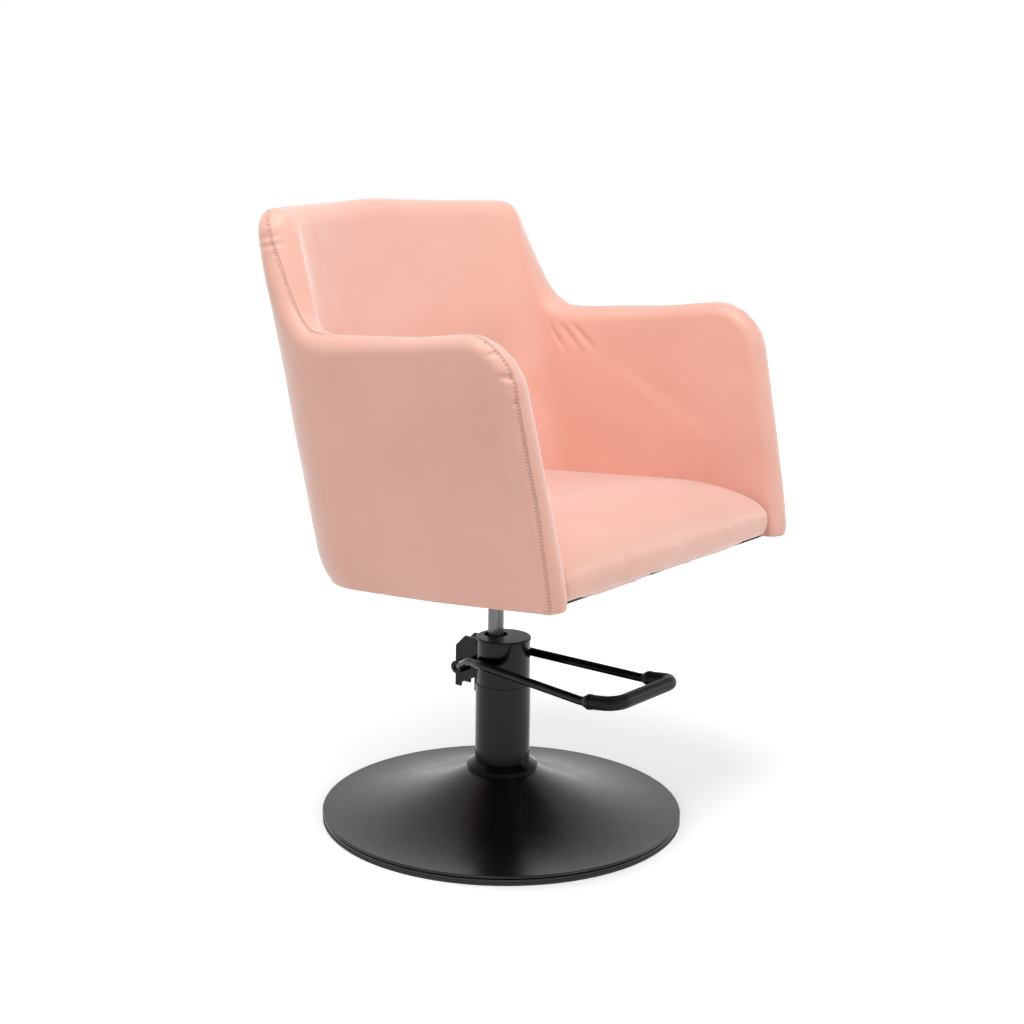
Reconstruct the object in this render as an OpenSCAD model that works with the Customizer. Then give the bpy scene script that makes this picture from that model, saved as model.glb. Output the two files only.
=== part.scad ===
/* [Base] */
// Diameter of the base disc
base_d = 550; // [460:5:700]
// Height of the disc's neck, which the pump's collar stands on
base_neck_h = 76; // [72:1:100]
// Diameter of the flat top of the neck
base_neck_d = 105; // [105:1:140]
// How strongly the disc sweeps up to its neck, where 1 is a straight cone
base_sweep = 2; // [1.3:0.1:3]
// Sheet thickness of the disc
base_wall = 3; // [2:0.5:4]
// Height of the top edge of the disc's rim
base_rim_h = 14.5; // [12:0.5:24]
// Radius of the rolled edge of the rim
base_lip_r = 1.8; // [1:0.1:3]
// Depth of the groove under the rolled edge
base_groove = 1.6; // [0.5:0.1:3]
// Height of the rubber ring that the disc stands on
edge_ring_h = 5.3; // [3:0.1:8]
// Width of the rubber ring's sole
edge_ring_w = 14; // [10:1:30]
// Thickness of the plate under the neck that takes the bolts
hub_plate_t = 6; // [4:0.5:8]

/* [Pump] */
// Height of the pump from the neck to the top of its cap
pump_h = 208.5; // [190:0.5:260]
// Height of the lower tube's edge above the neck
seam_h = 135.5; // [125:0.5:145]
// Outer diameter of the lower tube
lower_tube_d = 83.6; // [82:0.2:92]
// Outer diameter of the upper shroud
shroud_d = 81; // [79.4:0.2:81]
// Wall of the upper shroud
shroud_wall = 2; // [1:0.1:2.4]
// Diameter of the collar ring
collar_d = 108.5; // [107.5:0.5:125]
// Height of the collar ring's upright rim
collar_rim_h = 8; // [6:0.5:12]
// Height of the collar ring
collar_h = 14.7; // [12:0.1:20]
// Wall of the collar ring
collar_wall = 1.7; // [1:0.1:2]
// Height of the top cap above the shroud
cap_t = 4; // [2:0.5:8]
// Diameter of the top cap
cap_d = 83; // [81:0.5:90]
// Diameter of the cap's hole round the rod
cap_hole_d = 36; // [28:1:40]
// Depth of the pump's tail inside the base
tail_depth = 60; // [50:1:66]
// Diameter of the pump's tail
tail_d = 75; // [74:0.5:75.6]
// Thickness of the pump's bottom flange
flange_t = 7; // [5:0.5:7]
// Bore of the lifting cylinder
cylinder_bore = 30; // [28:0.5:31]
// Wall of the lifting cylinder
cylinder_wall = 4; // [2:0.5:4]

/* [Lift] */
// Diameter of the piston rod
rod_d = 24; // [20:0.5:25]
// How far the rod lies behind the pump's centre
rod_back = 15.7; // [13:0.1:16]
// How far the seat is raised in this pose
seat_raise = 42; // [10:1:90]
// Length of the piston
piston_l = 16; // [12:1:20]
// Height from the hub's foot to the bottom of the tub, on the rod
hub_l = 80; // [60:1:120]
// Diameter of the hub under the seat
hub_d = 45; // [36:1:60]

/* [Pedal] */
// How far the pedal's pivot lies behind the pump's centre
pivot_back = 73.3; // [70:0.1:80]
// Height of the pivot above the neck
pivot_h = 150; // [145:0.5:160]
// Length of the pivot from boss to boss
pivot_w = 50; // [42:0.5:60]
// Diameter of the bosses on the pivot
boss_d = 20; // [16:0.5:24]
// Diameter of the pivot pin
pin_d = 10; // [8:0.5:12]
// Diameter of the pedal's round bar
bar_d = 13; // [8:0.5:14]
// Half width of the pedal at its foot bar
pedal_half_w = 74; // [66:1:90]
// Half width of the pedal beside the pump
pedal_waist = 53.5; // [53:0.5:58]
// How far the foot bar lies in front of the pump's centre
pedal_reach = 263; // [220:1:300]
// Height of the foot bar above the neck
foot_bar_h = 174.5; // [165:0.5:180]
// Height of the pedal's grip ends above the neck
grip_end_h = 167; // [160:0.5:175]
// How far the grip's ends lie in front of the pump's centre
grip_end = 203; // [185:1:215]
// Centre-line radius of the foot bar's corners
foot_corner_r = 22; // [18:1:30]
// Diameter of the rubber grip over its ribs
grip_d = 21; // [18:0.5:24]
// Number of ribs round the grip
grip_ribs = 18; // [10:1:24]

/* [Tub] */
// Half width at the arms' front, at the bottom
half_front_low = 312; // [280:1:340]
// Half width at the arms' front, at arm height
half_front_arm = 332; // [300:1:360]
// Half width at the rear corners, at the bottom
half_back_low = 304; // [280:1:330]
// Half width at the rear corners, at arm height
half_back_arm = 320; // [290:1:345]
// Distance from the rod to the arms' front, at the bottom
front_low = 335; // [310:1:360]
// Distance from the rod to the arms' front, at arm height
front_arm = 284; // [260:1:310]
// Distance from the rod to the back's corners, at the bottom
back_low = 155; // [135:1:180]
// Distance from the rod to the back's corners, at the top
back_top = 208; // [180:1:235]
// Plan radius of the rear corners, at the bottom
corner_r_low = 133; // [110:1:160]
// Plan radius of the rear corners, at the top
corner_r_top = 116; // [95:1:150]
// How far the middle of the back bulges out
back_bulge = 29; // [15:1:45]
// Height of the arms
arm_h = 353; // [320:1:380]
// Dip of the arms' top line in its middle
arm_dip = 3; // [0:0.5:8]
// Rise of the arms' top line towards the front
arm_front_rise = 6; // [0:0.5:12]
// Height of the back at its corners
back_h = 525; // [480:1:560]
// Rise of the back's top line in its middle
back_crown = 12; // [4:0.5:20]
// Length along the tub from the rear corner's start to the foot of the slope
slope_start = 13; // [5:1:40]
// Length along the tub that the slope covers
slope_run = 71; // [55:1:95]
// Corner radius at the arms' front
arm_front_r = 82; // [50:1:110]
// Radius of the hollow between arm and back
hollow_r = 80; // [50:1:110]
// Corner radius at the top of the back
back_corner_r = 54; // [30:1:70]
// Thickness of the padded wall at the arms' front
wall_t = 40; // [34:1:50]
// Thickness of the padded wall round the back
back_wall_t = 58; // [40:1:66]
// Thickness of the bent plywood inside the wall
ply_t = 15; // [10:1:20]
// Height over which the bottom edge is tucked in at the rear
tuck_h = 56; // [40:1:70]
// Depth of that tuck
tuck_depth = 19; // [8:1:24]
// Height over which the arms' front edge curves back at the bottom
toe_h = 90; // [40:5:120]
// Depth of that curve
toe_depth = 7; // [0:0.5:15]
// Backward tilt of the whole tub, in degrees
tub_tilt = 4.35; // [0:0.05:8]
// Turn of the seat on the pump in this pose, in degrees
seat_turn = 2.25; // [-20:0.05:20]

/* [Seat] */
// Height of the cushion's top at the rear
cushion_back_h = 105; // [95:1:120]
// Height of the cushion's top where its front roll starts
cushion_front_h = 95; // [90:1:110]
// Distance from the rod to the cushion's front
cushion_front = 322; // [300:1:345]
// Distance from the rod to the cushion's front at its foot
cushion_foot = 318; // [295:1:330]
// Length over which the cushion rolls down to its front
front_roll_length = 160; // [60:5:200]
// Height that it drops over that length
front_roll_height = 66; // [35:1:68]
// Drop of the cushion's top at its sides
side_drop = 20; // [10:1:30]
// Width of the cushion's lip in front of the seat board
lip_t = 24; // [15:1:35]
// Thickness of the seat board
board_t = 15; // [10:1:17]
// Height of the seat board's underside above the tub's bottom edge
board_up = 8; // [5:0.5:12]
// Thickness of the steel mounting plate
plate_t = 5; // [3:0.5:5]
// Width of the mounting plate
plate_width = 180; // [150:5:220]
// Length of the mounting plate
plate_length = 180; // [160:5:200]
// Distance between the mounting screws across the seat
screw_span_w = 140; // [110:5:180]
// Distance between the mounting screws along the seat
screw_span_l = 140; // [110:5:160]

/* [Hidden] */
$fn = 96;

// Overrun of every cut, the gaps of the fits and the smallest length told apart
over = 1;
tiny = 0.0005;
slip = 0.05;
free = 0.3;
loose = 0.5;

// Base bolts, which hold the pump's flange down on the neck
bolt_d = 8;
bolt_circle_d = 92;
bolt_count = 4;
bolt_hole_d = 9;
bolt_head_t = 5.3;
bolt_head_d = 15;
bolt_bite = 6;
washer_d = 16;
washer_t = 1.6;
thread_depth = 6.5;

// Rubber ring's inner upstand and the disc's rim band
rim_band_in = 1;
upstand_w = 3;
upstand_h = 4;
sole_chamfer = 1;
rim_gap_h = 1;

// Tubes and blocks inside the pump
tube_wall = 3.3;
flange_chamfer = 1.5;
rebate_h = 6;
tail_wall = 2;
tail_floor_t = 6;
valve_block_t = 12;
cylinder_seat = 3;
head_t = 27;
head_top_h = 131;
cylinder_socket = 5;
bush_wall = 4;
bush_t = 18;
seal_t = 3;
seal_lip = 1.5;
cap_spigot_t = 5;
cap_edge_r = 1.2;
valve_port_d = 6;

// Rocker, plunger and spring
pivot_z = base_neck_h + pivot_h;
plunger_x = 28;
plunger_ahead = -2;
plunger_d = 10;
plunger_head_d = 17;
plunger_head_t = 4;
plunger_tail = 17;
pocket_d = 20;
pocket_depth = 12;
spring_wire = 1.6;
spring_coil_d = 14;
spring_turns = 6;
spring_steps = 12;
spring_sides = 6;
nose_d = 12;
nose_w = 14;
rocker_t = 9;
rocker_w = 7;
rocker_hub_d = 18;
press_angle = 15;

// Lever bracket
cheek_t = 3;
cheek_in = 9.5;
bracket_up = 48.7;
bracket_down = 33;
bracket_back = 11.5;
bracket_chamfer = 18;
bracket_leg_w = 11;
bracket_web_down = 14;
saddle_half_w = 16;
saddle_t = 7;
saddle_skin = 2;
window_up = 15;
window_down = 15;
window_reach = 60;
window_side = 18;
shroud_window_half_w = 19.5;
boss_gap = 0.3;
pin_recess = 4;

// Pedal bar between the boss and the waist
arm_root_half_w = 19;
arm_rise = [38, -36, 20];
arm_bend_r = 40;
waist_up = 24;
waist_bend_r = 60;
grip_bend_r = 60;
grip_rib_h = 0.9;
grip_bead_d = 22.5;
grip_bead_l = 5;
grip_cone_l = 7;
grip_cone_d = 16;

// Seat fittings
hub_stop_gap = 3;
hub_cap_t = 8;
gusset_t = 5;
gusset_reach = 30;
gusset_drop = 28;
seat_screw_d = 8;
seat_screw_head_d = 14;
seat_screw_head_t = 5;
tee_barrel_d = 10;
tee_flange_d = 22;
tee_flange_t = 1.6;
plate_corner_r = 14;
dust_cover_t = 1.5;
dust_inset = 22;
dust_opening_gap = 12;
piston_seal_t = 3;
piston_groove = 2;
spigot_d = 12;
piston_floor_gap = 2;

// Derived heights and radii
base_r = base_d / 2;
cap_top = base_neck_h + pump_h;
shroud_top = cap_top - cap_t;
seam_z = base_neck_h + seam_h;
head_top = base_neck_h + head_top_h;
head_bottom = head_top - head_t;
tail_bottom = base_neck_h - tail_depth;
block_bottom = tail_bottom + tail_floor_t;
cylinder_bottom = block_bottom + valve_block_t - cylinder_seat;
cylinder_r = cylinder_bore / 2 + cylinder_wall;
cylinder_top = head_bottom + cylinder_socket;
hub_bottom = cap_top + hub_stop_gap + seat_raise;
tub_bottom = hub_bottom + hub_l;
piston_bottom = cylinder_bottom + piston_floor_gap + seat_raise;
tube_in_r = lower_tube_d / 2 - tube_wall;
board_top_up = board_up + board_t;

// Generic helpers
function lerp(a, b, t) = a + (b - a) * t;
function clamp(v, low, high) = min(max(v, low), high);
function unit(v) = v / norm(v);

// Points of a fillet of radius r at p, between the neighbours a and b
fillet_limit_share = 0.49;
function fillet(p, a, b, r, steps = 10) =
    let (u = unit(a - p), v = unit(b - p), half = acos(clamp(u * v, -1, 1)) / 2,
         limit = fillet_limit_share * min(norm(a - p), norm(b - p)),
         d = min(r / tan(half), limit), w = sin(half))
    [for (i = [0:steps]) let (t = i / steps, c0 = (1 - t) * (1 - t), c1 = 2 * t * (1 - t) * w, c2 = t * t)
        (c0 * (p + u * d) + c1 * p + c2 * (p + v * d)) / (c0 + c1 + c2)];
function filleted(pts, radii) = concat([pts[0]],
    [for (i = [1:len(pts) - 2]) each fillet(pts[i], pts[i - 1], pts[i + 1], radii[i - 1])],
    [pts[len(pts) - 1]]);

// Distance of p from the line between a and b
function line_gap(p, a, b) =
    let (ab = b - a, t = clamp((p - a) * ab / max(ab * ab, tiny), 0, 1)) norm(p - a - ab * t);

module ring(r_out, r_in, low, high) {
    translate([0, 0, low]) difference() {
        cylinder(r = r_out, h = high - low);
        translate([0, 0, -over]) cylinder(r = r_in, h = high - low + 2 * over);
    }
}

module bolt_places() {
    for (i = [0:bolt_count - 1])
        rotate([0, 0, (i + 0.5) * 360 / bolt_count]) translate([bolt_circle_d / 2, 0, 0]) children();
}

module at_rod() {
    translate([0, rod_back, 0]) children();
}

module at_pivot() {
    translate([0, pivot_back, pivot_z]) children();
}

// A cylinder along X, centred on the origin
module cross_pin(d, length) {
    rotate([0, 90, 0]) cylinder(d = d, h = length, center = true);
}

// Base: the disc is one pressed sheet, swept up like a trumpet
sweep_steps = 24;
lip_steps = 8;
lip_turn = 150;
groove_share = 0.9;
trumpet_r0 = base_r - base_lip_r;
function trumpet_z(r) = base_rim_h + (base_neck_h - base_rim_h)
    * pow((trumpet_r0 - r) / (trumpet_r0 - base_neck_d / 2), base_sweep);
function trumpet_slope(r) = (base_neck_h - base_rim_h) * base_sweep / (trumpet_r0 - base_neck_d / 2)
    * pow((trumpet_r0 - r) / (trumpet_r0 - base_neck_d / 2), base_sweep - 1);
function trumpet_r(i) = lerp(base_neck_d / 2, trumpet_r0, i / sweep_steps);
function trumpet_top() = [for (i = [0:sweep_steps]) [trumpet_r(i), trumpet_z(trumpet_r(i))]];
function trumpet_under() = [for (i = [sweep_steps - 1:-1:1])
    let (r = trumpet_r(i), s = trumpet_slope(r), n = norm([s, 1]))
        [r - base_wall * s / n, trumpet_z(r) - base_wall / n]];
band_r = base_r - rim_band_in;

module base_disc() {
    lip_z = base_rim_h - base_lip_r;
    groove_r = base_r - base_groove - base_lip_r;
    groove_z = lip_z - base_lip_r * groove_share;
    inner_neck_r = base_neck_d / 2 - base_wall;
    hole_r = tail_d / 2 + free;
    profile = concat(
        [[hole_r, base_neck_h]], trumpet_top(),
        [for (i = [1:lip_steps]) let (a = 90 - i * lip_turn / lip_steps)
            [trumpet_r0 + base_lip_r * cos(a), lip_z + base_lip_r * sin(a)]],
        [[groove_r, groove_z], [groove_r, groove_z - rim_gap_h], [band_r, groove_z - 2 * rim_gap_h],
         [band_r, edge_ring_h], [band_r - base_wall, edge_ring_h],
         [band_r - base_wall, base_rim_h - base_wall]],
        trumpet_under(),
        [[inner_neck_r, base_neck_h - base_wall], [hole_r, base_neck_h - base_wall]]);
    color([0.09, 0.09, 0.095]) difference() {
        rotate_extrude($fn = 180) polygon(profile);
        bolt_places() translate([0, 0, base_neck_h - base_wall - over])
            cylinder(d = bolt_hole_d, h = base_wall + 2 * over);
    }
}

module base_edge_ring() {
    sole_r = base_r - free;
    stand_r = band_r - base_wall - free;
    color([0.05, 0.05, 0.05]) rotate_extrude($fn = 180) polygon([
        [base_r - edge_ring_w, 0], [sole_r - sole_chamfer, 0], [sole_r, sole_chamfer],
        [sole_r, edge_ring_h], [stand_r, edge_ring_h], [stand_r, edge_ring_h + upstand_h],
        [stand_r - upstand_w, edge_ring_h + upstand_h], [stand_r - upstand_w, edge_ring_h],
        [base_r - edge_ring_w, edge_ring_h - sole_chamfer]]);
}

module base_hub_plate() {
    top = base_neck_h - base_wall;
    color([0.3, 0.3, 0.31]) difference() {
        ring(base_neck_d / 2 - base_wall, tail_d / 2 + free, top - hub_plate_t, top);
        bolt_places() translate([0, 0, top - hub_plate_t - over])
            cylinder(d = bolt_hole_d, h = hub_plate_t + 2 * over);
    }
}

bolt_seat_z = base_neck_h - base_wall - hub_plate_t - washer_t;

module base_bolts() {
    color([0.6, 0.6, 0.62]) bolt_places() union() {
        translate([0, 0, bolt_seat_z - bolt_head_t]) cylinder(d = bolt_head_d, h = bolt_head_t, $fn = 6);
        translate([0, 0, bolt_seat_z - over])
            cylinder(d = bolt_d - 2 * slip, h = base_neck_h + bolt_bite - bolt_seat_z + over);
    }
}

module base_washers() {
    color([0.6, 0.6, 0.62]) bolt_places()
        ring(washer_d / 2 - free, bolt_hole_d / 2, bolt_seat_z, bolt_seat_z + washer_t);
}

// Pump body: the foot is a flange with a cup that hangs in the base
module pump_foot() {
    flange_r = collar_d / 2 - collar_wall - loose;
    tail_in_r = tail_d / 2 - tail_wall;
    flange_top = base_neck_h + flange_t;
    color([0.25, 0.25, 0.26]) difference() {
        rotate_extrude() polygon([
            [0, tail_bottom], [tail_d / 2, tail_bottom], [tail_d / 2, base_neck_h], [flange_r, base_neck_h],
            [flange_r, flange_top - flange_chamfer], [flange_r - flange_chamfer, flange_top],
            [tail_in_r, flange_top], [tail_in_r, block_bottom], [0, block_bottom]]);
        bolt_places() translate([0, 0, base_neck_h - over]) cylinder(d = bolt_d, h = thread_depth + over);
    }
}

module pump_collar() {
    r = collar_d / 2;
    tube_r = lower_tube_d / 2;
    rim_z = base_neck_h + collar_rim_h;
    top_z = base_neck_h + collar_h;
    color([0.02, 0.02, 0.02]) rotate_extrude() polygon([
        [r - collar_wall, base_neck_h], [r, base_neck_h], [r, rim_z - collar_wall / 4],
        [r - collar_wall / 4, rim_z],
        [tube_r + collar_wall, top_z], [tube_r, top_z], [tube_r, top_z - collar_wall],
        [r - collar_wall, rim_z - collar_wall]]);
}

module pump_lower_tube() {
    low = base_neck_h + flange_t;
    r = lower_tube_d / 2;
    rebate_r = shroud_d / 2 + slip;
    color([0.03, 0.03, 0.03]) rotate_extrude() polygon([
        [tube_in_r, low], [r, low], [r, seam_z], [rebate_r, seam_z],
        [rebate_r, seam_z - rebate_h], [tube_in_r, seam_z - rebate_h]]);
}

module pump_upper_shroud() {
    r = shroud_d / 2;
    low = seam_z - rebate_h;
    color([0.02, 0.02, 0.02]) difference() {
        ring(r, r - shroud_wall, low, shroud_top);
        translate([-shroud_window_half_w, 0, pivot_z - window_down])
            cube([2 * shroud_window_half_w, r + over, window_down + window_up]);
    }
}

module pump_top_cap() {
    r = cap_d / 2;
    spigot_r = shroud_d / 2 - shroud_wall - slip;
    color([0.02, 0.02, 0.02]) difference() {
        rotate_extrude() polygon([
            [0, shroud_top - cap_spigot_t], [spigot_r, shroud_top - cap_spigot_t], [spigot_r, shroud_top],
            [r, shroud_top], [r, cap_top - cap_edge_r], [r - cap_edge_r, cap_top], [0, cap_top]]);
        at_rod() translate([0, 0, shroud_top - cap_spigot_t - over])
            cylinder(d = cap_hole_d, h = cap_spigot_t + cap_t + 2 * over);
    }
}

module valve_block() {
    r = tail_d / 2 - tail_wall - free;
    top = block_bottom + valve_block_t;
    color([0.5, 0.5, 0.52]) difference() {
        translate([0, 0, block_bottom]) cylinder(r = r, h = valve_block_t);
        at_rod() translate([0, 0, cylinder_bottom]) cylinder(r = cylinder_r + slip, h = cylinder_seat + over);
        for (x = [plunger_x / 2, -plunger_x / 2]) translate([x, -r / 2, top - valve_block_t / 2])
            cylinder(d = valve_port_d, h = valve_block_t);
    }
}

module cylinder_tube() {
    color([0.7, 0.7, 0.72]) at_rod() ring(cylinder_r, cylinder_bore / 2, cylinder_bottom, cylinder_top);
}

bush_r = rod_d / 2 + bush_wall;
bush_bottom = head_top - seal_t - bush_t;

module pump_head() {
    color([0.55, 0.55, 0.57]) difference() {
        translate([0, 0, head_bottom]) cylinder(r = tube_in_r - slip, h = head_t);
        at_rod() {
            translate([0, 0, head_bottom - over]) cylinder(r = cylinder_r + slip, h = cylinder_socket + over);
            translate([0, 0, head_bottom]) cylinder(d = rod_d + 2 * loose, h = head_t + over);
            translate([0, 0, bush_bottom]) cylinder(r = bush_r, h = head_t);
        }
        translate([plunger_x, plunger_ahead, head_bottom - over])
            cylinder(d = plunger_d + 2 * slip, h = head_t);
        translate([plunger_x, plunger_ahead, head_top - pocket_depth])
            cylinder(d = pocket_d, h = pocket_depth + over);
    }
}

module rod_bush() {
    color([0.72, 0.6, 0.35]) at_rod() ring(bush_r, rod_d / 2 + slip, bush_bottom, head_top - seal_t);
}

module rod_seal() {
    r = rod_d / 2 + slip;
    low = head_top - seal_t;
    color([0.08, 0.08, 0.08]) at_rod() rotate_extrude() polygon([
        [r, low], [bush_r, low], [bush_r, head_top], [r + seal_lip, head_top + seal_lip],
        [r, head_top + seal_lip]]);
}

// Lever bracket: two cheeks on a saddle that is cut to the tube
module cheek_outline() {
    back = bracket_back;
    leg_in = back - bracket_leg_w;
    front = lower_tube_d / 2 - pivot_back;
    polygon([
        [front, bracket_up], [back - bracket_chamfer, bracket_up], [back, bracket_up - bracket_chamfer],
        [back, -bracket_down], [leg_in, -bracket_down], [leg_in, -bracket_down + bracket_leg_w / 2],
        [front + saddle_t, -bracket_web_down], [front, -bracket_web_down]]);
}

module lever_bracket() {
    saddle_y = lower_tube_d / 2 - saddle_t;
    color([0.02, 0.02, 0.02]) difference() {
        union() {
            for (side = [-1, 1])
                at_pivot() translate([side * (cheek_in + cheek_t / 2), 0, 0])
                    rotate([90, 0, 90]) translate([0, 0, -cheek_t / 2])
                        linear_extrude(cheek_t) cheek_outline();
            translate([-saddle_half_w, saddle_y, pivot_z - bracket_down])
                cube([2 * saddle_half_w, saddle_t + saddle_skin, bracket_up + bracket_down]);
        }
        translate([0, 0, pivot_z - bracket_down - over])
            cylinder(d = lower_tube_d, h = bracket_up + bracket_down + 2 * over);
        translate([-cheek_in, 0, pivot_z - window_down])
            cube([cheek_in + window_side, window_reach, window_down + window_up]);
        at_pivot() cross_pin(pin_d + 2 * slip, 4 * cheek_in);
    }
}

// Plunger, pressed down by the rocker's nose and pushed up by its spring
rocker_span = pivot_back - plunger_ahead;
nose_z = pivot_z + rocker_span * tan(press_angle / 2);
plunger_top = nose_z - nose_d / 2 - free;
pocket_z = head_top - pocket_depth;

module plunger() {
    color([0.65, 0.65, 0.67]) translate([plunger_x, plunger_ahead, 0]) union() {
        translate([0, 0, plunger_top - plunger_head_t]) cylinder(d = plunger_head_d, h = plunger_head_t);
        translate([0, 0, pocket_z - plunger_tail / 2])
            cylinder(d = plunger_d, h = plunger_top - plunger_head_t - pocket_z + plunger_tail / 2 + over);
    }
}

module plunger_spring() {
    low = pocket_z + spring_wire / 2 + slip;
    high = plunger_top - plunger_head_t - spring_wire / 2 - slip;
    n = spring_turns * spring_steps;
    rings = [for (i = [0:n]) let (a = 360 * i / spring_steps, z = lerp(low, high, i / n))
        [for (k = [0:spring_sides - 1]) let (b = 360 * k / spring_sides,
            r = spring_coil_d / 2 + spring_wire / 2 * cos(b))
            [r * cos(a), r * sin(a), z + spring_wire / 2 * sin(b)]]];
    color([0.6, 0.6, 0.62]) translate([plunger_x, plunger_ahead, 0]) tube_mesh(rings);
}

// A closed tube through rings of points
module tube_mesh(rings) {
    m = len(rings[0]);
    n = len(rings);
    polyhedron(
        points = [for (r = rings) each r],
        faces = concat(
            [for (k = [1:m - 2]) [0, k + 1, k]],
            [for (k = [1:m - 2]) [(n - 1) * m, (n - 1) * m + k, (n - 1) * m + k + 1]],
            [for (i = [0:n - 2], k = [0:m - 1]) each
                let (a = i * m + k, b = i * m + (k + 1) % m) [[a, b + m, a + m], [a, b, b + m]]]),
        convexity = 10);
}

// Pedal: pin, bosses, rocker, round bar and its grip
module pivot_pin() {
    color([0.3, 0.3, 0.31]) at_pivot() cross_pin(pin_d, pivot_w - 2 * pin_recess);
}

boss_in = cheek_in + cheek_t + boss_gap;

module pedal_bosses() {
    boss_w = pivot_w / 2 - boss_in;
    color([0.02, 0.02, 0.02]) at_pivot() for (side = [-1, 1])
        translate([side * (boss_in + boss_w / 2), 0, 0]) difference() {
            cross_pin(boss_d, boss_w);
            cross_pin(pin_d, boss_w + 2 * over);
        }
}

module rocker_arm() {
    hub_half = cheek_in - boss_gap;
    nose = [plunger_x, -rocker_span];
    across = [-nose[1], nose[0]] / norm(nose) * rocker_w / 2;
    color([0.35, 0.35, 0.36]) at_pivot() difference() {
        rotate([-press_angle / 2, 0, 0]) union() {
            cross_pin(rocker_hub_d, 2 * hub_half);
            translate([0, 0, -rocker_t / 2]) linear_extrude(rocker_t)
                polygon([-across, nose - across, nose + across, across]);
            translate([plunger_x, -rocker_span / cos(press_angle / 2), 0]) cross_pin(nose_d, nose_w);
        }
        cross_pin(pin_d, 4 * cheek_in);
    }
}

// Centre line of the pedal's right arm, from its boss to the foot bar's corner
arm_path = [
    [arm_root_half_w, pivot_back, pivot_z],
    [arm_rise[0], pivot_back + arm_rise[1], pivot_z + arm_rise[2]],
    [pedal_waist, 0, pivot_z + waist_up],
    [pedal_half_w, -grip_end, base_neck_h + grip_end_h],
    [pedal_half_w, -pedal_reach, base_neck_h + foot_bar_h],
    [0, -pedal_reach, base_neck_h + foot_bar_h]
];
arm_radii = [arm_bend_r, waist_bend_r, grip_bend_r, foot_corner_r];

// Points along the whole bar, from the right boss round the front to the left one
bend_steps = [5, 3, 2, 8];
function right_line() = concat([arm_path[0]],
    [for (i = [1:4])
        each fillet(arm_path[i], arm_path[i - 1], arm_path[i + 1], arm_radii[i - 1], bend_steps[i - 1])]);
function mirrored(pts) = [for (i = [len(pts) - 1:-1:0]) [-pts[i][0], pts[i][1], pts[i][2]]];
bar_line = concat(right_line(), mirrored(right_line()));
bar_sides = 20;
function heading(pts, i) = unit(pts[min(i + 1, len(pts) - 1)] - pts[max(i - 1, 0)]);
function ring_round(p, t, r, sides) = let (side = unit(cross(t, [0, 0, 1])), up = cross(side, t))
    [for (k = [0:sides - 1]) p + r * (cos(360 * k / sides) * side + sin(360 * k / sides) * up)];

module pedal_bar() {
    color([0.02, 0.02, 0.02]) difference() {
        tube_mesh([for (i = [0:len(bar_line) - 1])
            ring_round(bar_line[i], heading(bar_line, i), bar_d / 2, bar_sides)]);
        at_pivot() cross_pin(boss_d, 2 * pivot_w);
    }
}

// Grip, drawn in the plane of the foot bar, with its section's Y along that plane's normal
grip_pitch = atan2(foot_bar_h - grip_end_h, pedal_reach - grip_end);
grip_bend_turn = acos(clamp(unit(arm_path[4] - arm_path[3]) * unit(arm_path[3] - arm_path[2]), -1, 1));
grip_run = norm([pedal_reach - grip_end, foot_bar_h - grip_end_h]) - grip_bend_r * tan(grip_bend_turn / 2);
ribbed_run = grip_run - grip_cone_l - grip_bead_l;
module in_foot_plane() {
    translate([0, -pedal_reach, base_neck_h + foot_bar_h]) rotate([-grip_pitch, 0, 0]) children();
}
rib_foot_share = 0.36;
rib_crest_share = 0.2;
module grip_section() {
    r = grip_d / 2;
    step = 360 / grip_ribs;
    difference() {
        polygon([for (i = [0:grip_ribs - 1],
            k = [[-rib_foot_share, 0], [-rib_crest_share, 1], [rib_crest_share, 1], [rib_foot_share, 0]])
            let (a = (i + k[0]) * step, s = r - grip_rib_h * (1 - k[1])) [s * cos(a), s * sin(a)]]);
        circle(d = bar_d);
    }
}

module pedal_grip() {
    bore_r = bar_d / 2;
    middle = pedal_half_w - foot_corner_r;
    color([0.03, 0.03, 0.03]) in_foot_plane() {
        translate([-middle, 0, 0]) rotate([90, 0, 90]) linear_extrude(2 * middle) grip_section();
        for (side = [0, 1]) mirror([side, 0, 0]) {
            translate([middle, foot_corner_r, 0]) rotate([0, 0, -90]) rotate_extrude(angle = 90)
                translate([foot_corner_r, 0]) grip_section();
            translate([pedal_half_w, ribbed_run, 0]) rotate([90, 0, 0])
                linear_extrude(ribbed_run - foot_corner_r) grip_section();
            translate([pedal_half_w, ribbed_run, 0]) rotate([-90, 0, 0]) rotate_extrude() polygon([
                [bore_r, 0], [grip_bead_d / 2, 0], [grip_bead_d / 2, grip_bead_l],
                [grip_bead_d / 2 - grip_rib_h, grip_bead_l + grip_rib_h],
                [grip_cone_d / 2, grip_bead_l + grip_cone_l],
                [bore_r, grip_bead_l + grip_cone_l]]);
        }
    }
}

// Lift: piston with its seal, and the rod that carries the seat
piston_r = cylinder_bore / 2 - slip;
groove_low = piston_bottom + (piston_l - piston_seal_t) / 2;

module piston() {
    color([0.6, 0.6, 0.62]) at_rod() rotate_extrude() polygon([
        [0, piston_bottom], [piston_r, piston_bottom], [piston_r, groove_low],
        [piston_r - piston_groove, groove_low], [piston_r - piston_groove, groove_low + piston_seal_t],
        [piston_r, groove_low + piston_seal_t], [piston_r, piston_bottom + piston_l],
        [spigot_d / 2 + slip, piston_bottom + piston_l], [spigot_d / 2 + slip, piston_bottom + piston_l / 2],
        [0, piston_bottom + piston_l / 2]]);
}

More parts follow.
